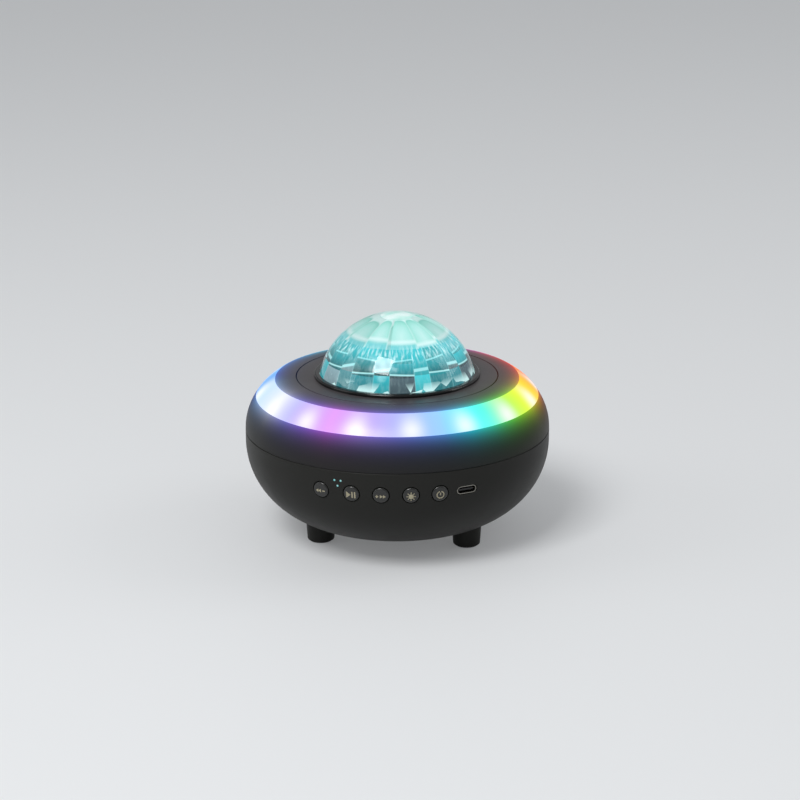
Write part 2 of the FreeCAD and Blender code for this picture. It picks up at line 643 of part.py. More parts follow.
def speaker_magnet():
    """The ring magnet with its back plate, and the pole that stands inside the voice coil."""
    z = FRAME_Z + BASKET_H
    ring = tube(MAGNET_BORE_R, MAGNET_R, z, z + MAGNET_T)
    back = disc(MAGNET_R - BACK_EDGE, z + MAGNET_T, z + MAGNET_T + MAGNET_BACK_T)
    pole = disc(POLE_R, z - FRAME_T, z + MAGNET_T)
    return fuse_all([ring, back, pole])


def speaker_screws():
    size = (SPEAKER_SCREW_HOLE_R, SPEAKER_SCREW_HEAD_R, SPEAKER_SCREW_HEAD_T)
    one = screw(0, -SPEAKER_SCREW_R, FRAME_Z + FRAME_T, SPEAKER_SCREW_TIP_Z, *size)
    return group([around(one, a) for a in SPEAKER_SCREW_AZIMUTHS])


def housing_screws():
    size = (SCREW_R, SCREW_HEAD_R, SCREW_HEAD_T)
    return group([screw(x, y, WELL_TOP_Z, SCREW_TIP_Z, *size) for x, y in boss_places()])


# Buttons, port and lights at the front

def button(azimuth):
    """A round button that slides straight in. Its face stands a little proud and follows the bowl's curve."""
    barrel = rod_y(BUTTON_R, 0, CONTROL_Z, -FAR, -BUTTON_FLANGE_FRONT).common(bowl_solid(-BUTTON_PROUD))
    face_edges = [e for e in barrel.Edges if e.BoundBox.YMax < -BUTTON_FLANGE_FRONT - 1]
    barrel = barrel.makeFillet(BUTTON_ROUND, face_edges)
    back = -BUTTON_FLANGE_FRONT + BUTTON_FLANGE_T
    flange = rod_y(BUTTON_FLANGE_R, 0, CONTROL_Z, -BUTTON_FLANGE_FRONT, back)
    stem = rod_y(BUTTON_STEM_R, 0, CONTROL_Z, back, -SWITCH_FRONT - PLUNGER_LENGTH)
    return around(fuse_all([barrel, flange, stem]), azimuth)


def plunger(azimuth):
    """The small pin of the switch behind a button, which the stem pushes."""
    pin = rod_y(PLUNGER_R, 0, CONTROL_Z, -SWITCH_FRONT - PLUNGER_LENGTH, -SWITCH_FRONT + 2.0)
    return around(pin, azimuth)


def switch_bodies():
    half = SWITCH_SIDE / 2
    back = -SWITCH_FRONT + SWITCH_DEEP
    body = box(-half, half, -SWITCH_FRONT, back, BOARD_TOP_Z, BOARD_TOP_Z + SWITCH_TALL)
    body = body.cut(rod_y(PLUNGER_R + SLIDE_GAP, 0, CONTROL_Z, -SWITCH_FRONT - 1, -SWITCH_FRONT + 3))
    return group([around(body, a) for a in BUTTON_AZIMUTHS.values()])


def usb_mouth_r():
    return bowl_radius(CONTROL_Z) - USB_MOUTH_DEPTH


def usb_shell():
    back_r = usb_mouth_r() - USB_DEEP
    outer = usb_slot(USB_W, USB_H, USB_DEEP, back_r)
    inner = usb_slot(USB_W - 2 * USB_WALL, USB_H - 2 * USB_WALL, USB_DEEP, back_r + USB_BACK_T)
    return outer.cut(inner)


def usb_tongue():
    back = usb_mouth_r() - USB_DEEP + USB_BACK_T
    w, t = TONGUE_W / 2, TONGUE_T / 2
    return around(box(-w, w, -back - TONGUE_L, -back, CONTROL_Z - t, CONTROL_Z + t), USB_AZIMUTH)


def status_light_pipe():
    """Three clear pins that fill the small holes, joined by a thin piece behind the wall."""
    front = BODY_R - WALL - PIPE_FRONT
    back = front - PIPE_T
    pin_r = PIN_HOLE_R - SLIDE_GAP
    pins = [rod_y(pin_r, x, z, -bowl_radius(z) + PIN_DEPTH, -back) for x, z in PIN_HOLES]
    low = box(-PIPE_LOW_W / 2, PIPE_LOW_W / 2, -front, -back, PIPE_LOW_Z, PIPE_STEP_Z)
    high = box(-PIPE_HIGH_W / 2, PIPE_HIGH_W / 2, -front, -back, PIPE_STEP_Z, STATUS_LIGHT_TOP_Z)
    return around(fuse_all([low, high] + pins), PIN_HOLE_AZIMUTH)


def status_light():
    """A lamp behind the light pipe, on two bent legs that stand on the main board behind the switches."""
    front = BODY_R - WALL - PIPE_FRONT - PIPE_T
    half, t = STATUS_LAMP_W / 2, STATUS_LEG_T
    lamp = box(-half, half, -front, -front + STATUS_LAMP_T, PIPE_STEP_Z + t, STATUS_LIGHT_TOP_Z)
    legs = []
    for x0 in (-half / 2 - t, half / 2):
        top_z = STATUS_LEG_Z + t
        legs.append(box(x0, x0 + t, -front + STATUS_LAMP_T, -STATUS_LEG_R, STATUS_LEG_Z, top_z))
        legs.append(box(x0, x0 + t, -STATUS_LEG_R - t, -STATUS_LEG_R, BOARD_TOP_Z, top_z))
    return around(fuse_all([lamp] + legs), PIN_HOLE_AZIMUTH)


# Boards

def main_board():
    board = disc(MAIN_BOARD_R, MAIN_BOARD_Z, BOARD_TOP_Z)
    window = box(-MAIN_BOARD_HALF_W, MAIN_BOARD_HALF_W, -MAIN_BOARD_R, MAIN_BOARD_REAR_Y, 0, FAR)
    half = PORT_TAB_W / 2
    port_tab = around(box(-half, half, -PORT_TAB_R, -SWITCH_FRONT, MAIN_BOARD_Z, BOARD_TOP_Z), USB_AZIMUTH)
    holes = [disc(BOSS_R + CLEARANCE, 0, FAR, x, y) for x, y in boss_places()]
    holes += [disc(SCREW_CLEAR_R, 0, FAR, x, y) for x, y in BOARD_POSTS]
    return fuse_all([board.common(window), port_tab]).cut(holes)


def small_screws():
    """The same small screw everywhere: four in the main board, three in the deck, two in the motor."""
    size = (POST_HOLE_R, SMALL_HEAD_R, SMALL_HEAD_T)
    screws = [screw(x, y, BOARD_TOP_Z, BOARD_TOP_Z - SMALL_SCREW_L, *size) for x, y in BOARD_POSTS]
    deck_z = SHELF_Z + DECK_T
    deck_screw = screw(0, -DECK_SCREW_R, deck_z, deck_z - SMALL_SCREW_L, *size)
    screws += [around(deck_screw, a) for a in DECK_SCREW_AZIMUTHS]
    ear_z = SHELF_Z - MOTOR_EAR_T
    screws += [screw(x, y, ear_z, ear_z + SMALL_SCREW_L, *size) for x, y in motor_ears()]
    return group(screws)


def board_chips():
    """The packages on the main board, each from its x, y, width, depth and height."""
    z = BOARD_TOP_Z
    return group([box(x - w / 2, x + w / 2, y - d / 2, y + d / 2, z, z + t) for x, y, w, d, t in CHIPS])


def board_capacitors():
    """The round cans on the main board, each from its x, y, radius and height."""
    return group([disc(r, BOARD_TOP_Z, BOARD_TOP_Z + h, x, y) for x, y, r, h in CAPACITORS])


def ring_board():
    """The board of the ring's lamps, open at the front where its two ends meet."""
    r_in, r_out = RING_BOARD_R
    half = RING_BOARD_GAP / 2
    board = tube(r_in, r_out, SHELF_Z, SHELF_Z + BOARD_T)
    return board.cut(box(-half, half, r_in - 1, r_out + 1, 0, FAR))


def ring_leds():
    z = SHELF_Z + BOARD_T
    half = RING_LED_SIDE / 2
    cup_r, cup_z = RING_LED_CUP_R, z + RING_LED_T - RING_LED_CUP_DEEP
    lamp = box(-half, half, -RING_LED_R - half, -RING_LED_R + half, z, z + RING_LED_T)
    lamp = lamp.cut(Part.makeCone(cup_r - 0.4, cup_r, RING_LED_CUP_DEEP, vec(0, -RING_LED_R, cup_z), Z_AXIS))
    step = 360.0 / RING_LED_COUNT
    return group([around(lamp, (k + 0.5) * step) for k in range(RING_LED_COUNT)])


def remote_eye():
    """The receiver for a remote control, on the ring board at the front where the ring lets light in."""
    z = SHELF_Z + BOARD_T
    front = -EYE_BACK_R - EYE_T
    block = box(-EYE_SIDE / 2, EYE_SIDE / 2, front, -EYE_BACK_R, z, z + EYE_TALL)
    bead = Part.makeSphere(EYE_BEAD_R, vec(0, front, z + EYE_TALL / 2))
    return fuse_all([block, bead])


# Light engine

def optics_deck():
    """The round deck on the shelf, with the hub that the turntable runs on and its track."""
    z0, z1 = SHELF_Z, SHELF_Z + DECK_T
    plate = disc(DECK_R, z0, z1)
    hub = tube(HUB_BORE_R, HUB_R, z1, HUB_TOP_Z)
    track = tube(TRACK_R, TRACK_R + TRACK_T, z1, ROTOR_Z - FIT_GAP)
    holes = [disc(LASER_R + SLIDE_GAP, 0, FAR), disc(MOTOR_NOSE_R + CLEARANCE, 0, FAR, *motor_place())]
    holes += [around(disc(SCREW_CLEAR_R, 0, FAR, 0, -DECK_SCREW_R), a) for a in DECK_SCREW_AZIMUTHS]
    holes += [disc(POST_HOLE_R, 0, FAR, x, y) for x, y in motor_ears()]
    holes += [disc(LEAD_WAY_R, 0, FAR, *LIGHT_LEAD[0][:2])]
    return fuse_all([plate, hub, track]).cut(holes)


def led_board():
    z = SHELF_Z + DECK_T
    return tube(LASER_R + CLEARANCE, HUB_BORE_R - CLEARANCE, z, z + BOARD_T)


def colour_leds():
    """Four lamps round the laser: three colours and a white one."""
    z = SHELF_Z + DECK_T + BOARD_T
    half = LED_BASE / 2
    base = box(-half, half, -LED_RING_R - half, -LED_RING_R + half, z, z + LED_BASE_T)
    ball = Part.makeSphere(LED_DOME_R, vec(0, -LED_RING_R, z + LED_DOME_Z))
    lens = ball.cut(disc(LED_BASE, 0, z + LED_DOME_Z, 0, -LED_RING_R))
    lamp = fuse_all([base, lens])
    return group([around(lamp, a) for a in LED_TURNS])


def heat_sink():
    """The finned block under the lamps."""
    top = SHELF_Z
    low = top - SINK_H
    parts = [disc(SINK_R, top - SINK_BASE_T, top)]
    for y in range(-FIN_REACH, FIN_REACH + 1, FIN_PITCH):
        fin = box(-FAR, FAR, y - FIN_T / 2, y + FIN_T / 2, low, top - SINK_BASE_T / 2)
        parts.append(fin.common(disc(SINK_R, low, top)))
    return fuse_all(parts).cut(disc(LASER_R + CLEARANCE, 0, FAR))


def laser_top_z():
    return HUB_TOP_Z + LASER_ABOVE


def laser_barrel():
    top = laser_top_z()
    barrel = disc(LASER_R, SHELF_Z - LASER_DEPTH, top)
    mouth = disc(LASER_LENS_R, top - LASER_MOUTH, FAR)
    beam_way = disc(LASER_BEAM_R, top - LASER_BORE, FAR)
    return barrel.cut([mouth, beam_way])


def laser_lens():
    """The small round-topped lens in the mouth of the laser's barrel."""
    z = laser_top_z() - LASER_MOUTH
    radius = LASER_LENS_R - FIT_GAP
    low, top_z = (radius, z + LASER_LENS_EDGE), z + LASER_LENS_T
    return turned((0, z), (radius, z), low, (cap_point(low, top_z, 0.5), (0, top_z)))


def gear(teeth, z0, thickness, first_azimuth):
    """A spur gear with involute flanks, a tooth centred on first_azimuth."""
    pitch_r = GEAR_MODULE * teeth / 2
    pressure = math.radians(PRESSURE_DEG)
    base_r = pitch_r * math.cos(pressure)
    tip_r = pitch_r + GEAR_MODULE
    root_r = pitch_r - 1.25 * GEAR_MODULE
    half_at_pitch = math.pi / (2 * teeth) - TOOTH_THINNING / (2 * pitch_r)

    def half_angle(r):
        turn = math.acos(min(1.0, base_r / r))
        return half_at_pitch + (math.tan(pressure) - pressure) - (math.tan(turn) - turn)

    low_r = max(base_r, root_r)
    flank = [low_r + (tip_r - low_r) * k / 4 for k in range(5)]
    points = []
    for tooth in range(teeth):
        middle = math.radians(first_azimuth) + 2 * math.pi * tooth / teeth
        side = [(root_r, half_angle(low_r))] + [(r, half_angle(r)) for r in flank]
        for r, half in side:
            points.append(vec(*place(math.degrees(middle - half), r), z0))
        for r, half in reversed(side):
            points.append(vec(*place(math.degrees(middle + half), r), z0))
    clean = [p for p, q in zip(points, points[1:] + points[:1]) if (p - q).Length > 1e-4]
    outline = Part.Face(Part.makePolygon(clean + clean[:1]))
    return outline.extrude(vec(0, 0, thickness))


def rotor_gear():
    """The toothed turntable that carries the ripple lens round the fixed hub."""
    teeth = gear(ROTOR_TEETH, ROTOR_Z, ROTOR_TOOTH_T, MOTOR_AZIMUTH)
    seat = disc(ROTOR_SEAT_R, ROTOR_Z, ROTOR_Z + ROTOR_T)
    return fuse_all([teeth, seat]).cut(disc(ROTOR_BORE_R, 0, FAR))


def ripple_ball():
    """The radius and the centre's height of the ball that the ripple lens is a cap of."""
    rim_r = ROTOR_SEAT_R - FIT_GAP
    ball_r = (rim_r**2 + RIPPLE_RISE**2) / (2 * RIPPLE_RISE)
    return ball_r, ROTOR_Z + ROTOR_T + RIPPLE_RIM + RIPPLE_RISE - ball_r


def ripple_lens():
    """A shallow clear cap with rings of ripples, which makes the light move like water."""
    z0 = ROTOR_Z + ROTOR_T
    rim_r = ROTOR_SEAT_R - FIT_GAP
    ball_r, centre_z = ripple_ball()
    low, high = math.asin(rim_r / ball_r), math.asin((GRATING_R + GRATING_LAND) / ball_r)

    def on_cap(angle, lift):
        return (ball_r + lift) * math.sin(angle), centre_z + (ball_r + lift) * math.cos(angle)

    steps = []
    turn = (high - low) / RIPPLE_COUNT
    for k in range(RIPPLE_COUNT):
        steps.append((on_cap(low + (k + 0.5) * turn, RIPPLE_DEPTH), on_cap(low + (k + 1) * turn, 0)))
    land_z = steps[-1][1][1]
    inner_high = on_cap(high, -RIPPLE_WALL)
    inner_mid = on_cap((low + high) / 2, -RIPPLE_WALL)
    inner_edge = on_cap(low, -RIPPLE_WALL)
    return turned(
        (rim_r, z0),
        (rim_r, z0 + RIPPLE_RIM),
        *steps,
        (GRATING_R + FIT_GAP, land_z),
        (GRATING_R + FIT_GAP, land_z - GRATING_POCKET),
        (0, land_z - GRATING_POCKET),
        (0, inner_high[1]),
        inner_high,
        (inner_mid, inner_edge),
        (inner_edge[0], z0),
    )


def grating_z():
    ball_r, centre_z = ripple_ball()
    return centre_z + math.sqrt(ball_r**2 - (GRATING_R + GRATING_LAND) ** 2) - GRATING_POCKET


def star_grating():
    return disc(GRATING_R, grating_z(), grating_z() + GRATING_T)


def rotor_retainer():
    """The thin ring on the hub that keeps the turntable down."""
    return tube(HUB_BORE_R, ROTOR_BORE_R + RETAINER_OVERLAP, HUB_TOP_Z, HUB_TOP_Z + RETAINER_T)


def drive_pinion():
    """The small gear on the motor's shaft, a little taller than the turntable's teeth."""
    low_z = ROTOR_Z - PINION_OVERLAP
    high_z = ROTOR_Z + ROTOR_TOOTH_T + PINION_OVERLAP
    gap_azimuth = MOTOR_AZIMUTH + 180 + 180.0 / PINION_TEETH
    wheel = gear(PINION_TEETH, low_z, high_z - low_z, gap_azimuth)
    boss = disc(PINION_BOSS_R, high_z, high_z + PINION_BOSS_T)
    wheel = fuse_all([wheel, boss]).cut(disc(SHAFT_R, 0, FAR))
    wheel.translate(vec(*motor_place(), 0))
    return wheel


def motor_ears():
    """The two screw places of the motor, each side of its can."""
    x, y = place(MOTOR_AZIMUTH, gear_distance() - MOTOR_OFFSET)
    a = math.radians(MOTOR_AZIMUTH)
    return [(x + s * MOTOR_EAR_REACH * math.cos(a), y + s * MOTOR_EAR_REACH * math.sin(a)) for s in (-1, 1)]


def motor_body():
    """A geared motor whose shaft stands off the middle of its can, away from the dome's axis."""
    top = SHELF_Z
    can_y = -gear_distance() + MOTOR_OFFSET
    can = disc(MOTOR_R, top - MOTOR_H - MOTOR_EAR_T, top - MOTOR_EAR_T, 0, can_y)
    rim = [e for e in can.Edges if e.BoundBox.ZMax < top - MOTOR_H]
    can = can.makeFillet(MOTOR_ROUND, rim)
    half = MOTOR_EAR_HALF
    end = MOTOR_EAR_REACH + half
    ears = box(-end, end, can_y - half, can_y + half, top - MOTOR_EAR_T, top)
    ears = ears.cut([disc(POST_HOLE_R, 0, FAR, s * MOTOR_EAR_REACH, can_y) for s in (-1, 1)])
    lid = disc(MOTOR_R, top - MOTOR_EAR_T, top, 0, can_y)
    nose = disc(MOTOR_NOSE_R, top - MOTOR_EAR_T, top + MOTOR_NOSE_T, 0, -gear_distance())
    shaft_way = disc(SHAFT_R + SLIDE_GAP, top - SHAFT_DEPTH - SLIDE_GAP, FAR, 0, -gear_distance())
    return around(fuse_all([can, ears, lid, nose]).cut(shaft_way), MOTOR_AZIMUTH)


def motor_shaft():
    return disc(SHAFT_R, SHELF_Z - SHAFT_DEPTH, ROTOR_Z + ROTOR_TOOTH_T + SHAFT_ABOVE, *motor_place())


# Leads inside the body

def lead(points, radius):
    """A round lead along straight runs joined by tangent arcs. Prints its length and smallest bend."""
    pts = [vec(*p) for p in points]
    edges = []
    here = pts[0]
    bends = []
    for before, corner, after in zip(pts, pts[1:], pts[2:]):
        run_in, run_out = (corner - before), (after - corner)
        turn = run_in.getAngle(run_out)
        cut = 0.45 * min(run_in.Length, run_out.Length)
        bends.append(cut / math.tan(turn / 2))
        start = corner - run_in.normalize() * cut
        end = corner + run_out.normalize() * cut
        chord_mid = (start + end) * 0.5
        sag = bends[-1] * (1 / math.cos(turn / 2) - 1)
        middle = corner + (chord_mid - corner).normalize() * sag
        edges.append(Part.LineSegment(here, start).toShape())
        edges.append(Part.Arc(start, middle, end).toShape())
        here = end
    edges.append(Part.LineSegment(here, pts[-1]).toShape())
    path = Part.Wire(edges)
    section = Part.Wire(Part.Circle(pts[0], pts[1] - pts[0], radius).toShape())
    solid = path.makePipeShell([section], True, False)
    share = solid.Volume / (math.pi * radius**2 * path.Length)
    print(f"lead: length {path.Length:.1f}, least bend {min(bends):.1f}, volume share {share:.3f}")
    return solid


def lead_sockets():
    """The white sockets on the main board that the leads end in."""
    ends = [path[-1] for path in (SPEAKER_LEAD, MOTOR_LEAD, LIGHT_LEAD, RING_LEAD)]
    w, d = SOCKET_W / 2, SOCKET_D / 2
    return group([box(x - w, x + w, y - d, y + d, BOARD_TOP_Z, z) for x, y, z in ends])


def check(name, shape):
    if not shape.isValid() or any(s.Volume <= 0 for s in shape.Solids) or not shape.Solids:
        raise ValueError(f"{name} isn't a valid solid")


def main():
    os.makedirs("parts", exist_ok=True)
    nodes = {
        "lower_housing": lower_housing(),
        "upper_housing": upper_housing(),
        "light_ring": light_ring(),
        "top_cover": top_cover(),
        "dome_plate": dome_plate(),
        "dome_collar": dome_collar(),
        "dome_lens": dome_lens(),
        "speaker_grille": speaker_grille(),
        "foot_pads": foot_pads(),
        "speaker_gasket": speaker_gasket(),
        "speaker_frame": speaker_frame(),
        "speaker_surround": speaker_surround(),
        "speaker_cone": speaker_cone(),
        "speaker_magnet": speaker_magnet(),
        "speaker_screws": speaker_screws(),
        "housing_screws": housing_screws(),
        "switch_bodies": switch_bodies(),
        "usb_shell": usb_shell(),
        "usb_tongue": usb_tongue(),
        "status_light_pipe": status_light_pipe(),
        "status_light": status_light(),
        "main_board": main_board(),
        "small_screws": small_screws(),
        "board_chips": board_chips(),
        "board_capacitors": board_capacitors(),
        "lead_sockets": lead_sockets(),
        "ring_board": ring_board(),
        "ring_leds": ring_leds(),
        "remote_eye": remote_eye(),
        "optics_deck": optics_deck(),
        "led_board": led_board(),
        "colour_leds": colour_leds(),
        "heat_sink": heat_sink(),
        "laser_barrel": laser_barrel(),
        "laser_lens": laser_lens(),
        "rotor_gear": rotor_gear(),
        "ripple_lens": ripple_lens(),
        "star_grating": star_grating(),
        "rotor_retainer": rotor_retainer(),
        "drive_pinion": drive_pinion(),
        "motor_body": motor_body(),
        "motor_shaft": motor_shaft(),
        "speaker_lead": lead(SPEAKER_LEAD, LEAD_R),
        "motor_lead": lead(MOTOR_LEAD, LEAD_R),
        "light_lead": lead(LIGHT_LEAD, LEAD_R),
        "ring_lead": lead(RING_LEAD, LEAD_R),
    }
    for name, azimuth in FOOT_AZIMUTHS.items():
        nodes[name] = foot(azimuth)
    for name, azimuth in BUTTON_AZIMUTHS.items():
        nodes[name] = button(azimuth)
        nodes[name.replace("button", "plunger")] = plunger(azimuth)
    for name, shape in nodes.items():
        check(name, shape)
        shape.exportStep(f"parts/{name}.step")
    print(f"{len(nodes)} nodes")


main()
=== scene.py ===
# %% [markdown]
# # A star night light projector
# The object is a dark plastic bowl on three feet. A glowing ring runs round its shoulder, a clear dome
# with cut facets stands in the middle of its top, and five small buttons sit in its front.
#
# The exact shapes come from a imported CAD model. This lesson adds what a CAD model lacks: the finish of
# every surface, the light in the ring and the dome, the facets of the dome and the marks on the buttons.

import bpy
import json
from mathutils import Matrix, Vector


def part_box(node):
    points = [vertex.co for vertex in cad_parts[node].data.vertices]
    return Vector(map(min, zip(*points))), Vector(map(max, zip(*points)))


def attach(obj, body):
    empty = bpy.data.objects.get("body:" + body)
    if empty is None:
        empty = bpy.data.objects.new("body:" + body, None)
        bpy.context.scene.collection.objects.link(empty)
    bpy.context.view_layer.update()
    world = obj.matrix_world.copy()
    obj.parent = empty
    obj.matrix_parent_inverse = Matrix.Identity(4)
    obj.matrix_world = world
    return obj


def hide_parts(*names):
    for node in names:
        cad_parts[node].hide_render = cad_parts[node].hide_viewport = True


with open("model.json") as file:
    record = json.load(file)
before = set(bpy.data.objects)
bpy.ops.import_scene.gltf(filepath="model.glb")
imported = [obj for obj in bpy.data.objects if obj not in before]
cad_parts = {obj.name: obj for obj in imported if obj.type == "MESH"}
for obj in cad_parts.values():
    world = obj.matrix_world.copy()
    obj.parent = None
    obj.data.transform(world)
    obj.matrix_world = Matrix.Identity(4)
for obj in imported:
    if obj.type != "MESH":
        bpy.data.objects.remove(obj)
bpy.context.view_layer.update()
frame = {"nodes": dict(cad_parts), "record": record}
nodes = frame["nodes"]

# %% [markdown]
# ## Camera
# The picture looks down at the front from about 17 degrees, a little to the right of the middle button.
# A long lens keeps the round shape calm. The position was found from the shape's own outline, so it is
# given here as a distance, a height and a turn.

# %% Camera
import math

import bmesh
import bpy
from mathutils import Matrix, Vector

MM = 0.001
scene = bpy.context.scene


SENSOR_WIDTH = 36.0
FAR_CLIP = 50.0


def place_camera(place, turn, dip, roll, focal, frame_size):
    """A camera at place (mm), turned about the upright axis and dipped below the horizon (degrees).

    focal and frame_size are in pixels, so their ratio gives the lens for any size of picture.
    """
    data = bpy.data.cameras.new("camera")
    data.sensor_width = SENSOR_WIDTH
    data.lens = focal / frame_size * SENSOR_WIDTH
    data.clip_end = FAR_CLIP
    camera = bpy.data.objects.new("camera", data)
    scene.collection.objects.link(camera)
    spin = Matrix.Rotation(math.radians(turn), 4, "Z")
    tip = Matrix.Rotation(math.radians(90 - dip), 4, "X")
    lean = Matrix.Rotation(math.radians(roll), 4, "Z")
    camera.matrix_world = Matrix.Translation(Vector(place) * MM) @ spin @ tip @ lean
    return camera


scene.camera = place_camera((98.07, -921.51, 348.26), 6.0, 17.303, -0.292, 2202.2, 800)
print(f"lens {scene.camera.data.lens:.1f} mm")

# %% [markdown]
# ## Floor and light
# The object stands on one wide pale floor. Its far edge is beyond the view, so no horizon shows. The
# floor is a little brighter where the camera or a reflection sees it, and throws none of that on the
# object. Three large soft lamps light it: one high in front, one low at each side. Large lamps give the
# slow, wide highlights that make a satin plastic look like plastic.

# %% Floor
FLOOR_SIZE = 40.0
FLOOR_COLOUR = (0.66, 0.67, 0.68, 1)
FLOOR_LIFT = 0.24


def square(name, size):
    """A flat square at height 0, in metres."""
    half = size / 2
    mesh = bpy.data.meshes.new(name)
    corners = [(-half, -half, 0), (half, -half, 0), (half, half, 0), (-half, half, 0)]
    mesh.from_pydata(corners, [], [(0, 1, 2, 3)])
    sheet = bpy.data.objects.new(name, mesh)
    scene.collection.objects.link(sheet)
    return sheet


floor = square("floor", FLOOR_SIZE)
floor_paint = bpy.data.materials.new("pale_floor")
floor_paint.use_nodes = True
floor_tree = floor_paint.node_tree
floor_shader = floor_tree.nodes["Principled BSDF"]
floor_shader.inputs["Base Color"].default_value = FLOOR_COLOUR
floor_shader.inputs["Roughness"].default_value = 0.55
floor_shader.inputs["Emission Color"].default_value = FLOOR_COLOUR
path = floor_tree.nodes.new("ShaderNodeLightPath").outputs
seen = path["Is Camera Ray"]
for other in ("Is Glossy Ray", "Is Transmission Ray"):
    either = floor_tree.nodes.new("ShaderNodeMath")
    either.operation = "MAXIMUM"
    floor_tree.links.new(seen, either.inputs[0])
    floor_tree.links.new(path[other], either.inputs[1])
    seen = either.outputs[0]
lift = floor_tree.nodes.new("ShaderNodeMath")
lift.operation = "MULTIPLY"
lift.inputs[1].default_value = FLOOR_LIFT
floor_tree.links.new(seen, lift.inputs[0])
floor_tree.links.new(lift.outputs[0], floor_shader.inputs["Emission Strength"])
floor.data.materials.append(floor_paint)
print("floor laid")

# %% Lamps and world
def soft_lamp(name, place, aim, size, watts, colour=(1, 1, 1)):
    """A square area lamp at place that looks at aim, both in metres."""
    data = bpy.data.lights.new(name, "AREA")
    data.shape = "SQUARE"
    data.size = size
    data.energy = watts
    data.color = colour
    lamp = bpy.data.objects.new(name, data)
    scene.collection.objects.link(lamp)
    lamp.location = place
    lamp.rotation_euler = (Vector(aim) - Vector(place)).to_track_quat("-Z", "Y").to_euler()
    return lamp


MIDDLE = (0, 0, 0.05)
soft_lamp("key", (-0.45, -1.0, 1.35), MIDDLE, 0.7, 17)
soft_lamp("left", (-1.5, -0.3, 0.7), MIDDLE, 0.9, 3)
soft_lamp("right", (1.4, 0.4, 0.9), MIDDLE, 0.9, 3.5)
world = bpy.data.worlds.new("studio")
world.use_nodes = True
scene.world = world
sky = world.node_tree.nodes["Background"]
sky.inputs["Color"].default_value = (0.8, 0.82, 0.84, 1)
sky.inputs["Strength"].default_value = 0.45
scene.view_settings.view_transform = "Standard"
print("three lamps and a pale sky")

# %% [markdown]
# ## Helpers for materials
# A material is a small network of nodes. Two short helpers keep the rest of the lesson readable: one
# adds a node and sets its sockets, the other starts a material with one Principled shader.

# %% Node helpers
def add(tree, kind, links=None, **values):
    """A new node. links maps a socket's name or number to an output, and values sets properties."""
    node = tree.nodes.new(kind)
    for name, value in values.items():
        setattr(node, name, value)
    for key, source in (links or {}).items():
        if hasattr(source, "is_output"):
            tree.links.new(source, node.inputs[key])
        else:
            node.inputs[key].default_value = source
    return node


def math_node(tree, operation, *sources):
    links = {i: s for i, s in enumerate(sources)}
    return add(tree, "ShaderNodeMath", links, operation=operation).outputs[0]


def times(tree, first, second):
    return math_node(tree, "MULTIPLY", first, second)


def minus(tree, first, second):
    return math_node(tree, "SUBTRACT", first, second)


def scaled(tree, colour, factor):
    return add(tree, "ShaderNodeVectorMath", {0: colour, "Scale": factor}, operation="SCALE").outputs[0]


def object_place(tree):
    """Where a point lies on its own piece, in metres. The pattern then travels with the piece."""
    return add(tree, "ShaderNodeTexCoord").outputs["Object"]


def axes_of(tree, vector):
    return add(tree, "ShaderNodeSeparateXYZ", {0: vector}).outputs


def angle_round(tree, axes):
    """The angle round the upright axis, in radians: 0 at the front, growing to the right."""
    return math_node(tree, "ARCTAN2", axes[0], times(tree, axes[1], -1.0))


def noise(tree, place, scale, detail=2.0):
    return add(tree, "ShaderNodeTexNoise", {"Vector": place, "Scale": scale, "Detail": detail}).outputs[0]


def mix_colour(tree, factor, first, second):
    """The first colour where factor is 0, the second where it is 1. Plain colours have three numbers."""
    node = add(tree, "ShaderNodeMix", {0: factor}, data_type="RGBA")
    for socket, source in ((node.inputs[6], first), (node.inputs[7], second)):
        if hasattr(source, "is_output"):
            tree.links.new(source, socket)
        else:
            socket.default_value = (*source, 1)
    return node.outputs[2]


def ramp(tree, factor, stops, blend="LINEAR"):
    """A colour ramp. stops is a list of (position, colour), and blend says how it runs between them."""
    node = add(tree, "ShaderNodeValToRGB", {0: factor})
    node.color_ramp.interpolation = blend
    points = node.color_ramp.elements
    while len(points) < len(stops):
        points.new(0.5)
    for point, (position, colour) in zip(points, stops):
        point.position = position
        point.color = (*colour, 1)
    return node.outputs[0]


def spread(tree, value, low, high, to_low, to_high):
    """Maps low..high to to_low..to_high, and keeps it between them."""
    links = {0: value, 1: low, 2: high, 3: to_low, 4: to_high}
    return add(tree, "ShaderNodeMapRange", links).outputs[0]


def start_material(name, **sockets):
    """A material with one Principled shader whose plain sockets are set by name."""
    material = bpy.data.materials.new(name)
    material.use_nodes = True
    shader = material.node_tree.nodes["Principled BSDF"]
    for key, value in sockets.items():
        shader.inputs[key.replace("_", " ")].default_value = value
    return material, material.node_tree, shader


def start_group(name, inputs, outputs):
    """A node group. inputs is a list of (name, type, default), outputs a list of (name, type)."""
    tree = bpy.data.node_groups.new(name, "ShaderNodeTree")
    for label, kind, default in inputs:
        socket = tree.interface.new_socket(label, in_out="INPUT", socket_type="NodeSocket" + kind)
        socket.default_value = default
    for label, kind in outputs:
        tree.interface.new_socket(label, in_out="OUTPUT", socket_type="NodeSocket" + kind)
    return tree, tree.nodes.new("NodeGroupInput").outputs, tree.nodes.new("NodeGroupOutput").inputs


def linear(red, green, blue):
    """A screen colour, 0 to 255, as the linear colour that a shader wants."""
    parts = [c / 255 for c in (red, green, blue)]
    return tuple(c / 12.92 if c <= 0.04045 else ((c + 0.055) / 1.055) ** 2.4 for c in parts)


BLACK, WHITE = (0, 0, 0), (1, 1, 1)
print("helpers ready")

# %% [markdown]
# ## Moulded plastic
# The housing is moulded in a tool whose walls are etched, so its surface has a very fine grain. It
# scatters light softly. Handling leaves faint, wide patches that are a little smoother. One group makes
# both, and every plastic, rubber and painted piece uses it with its own numbers.

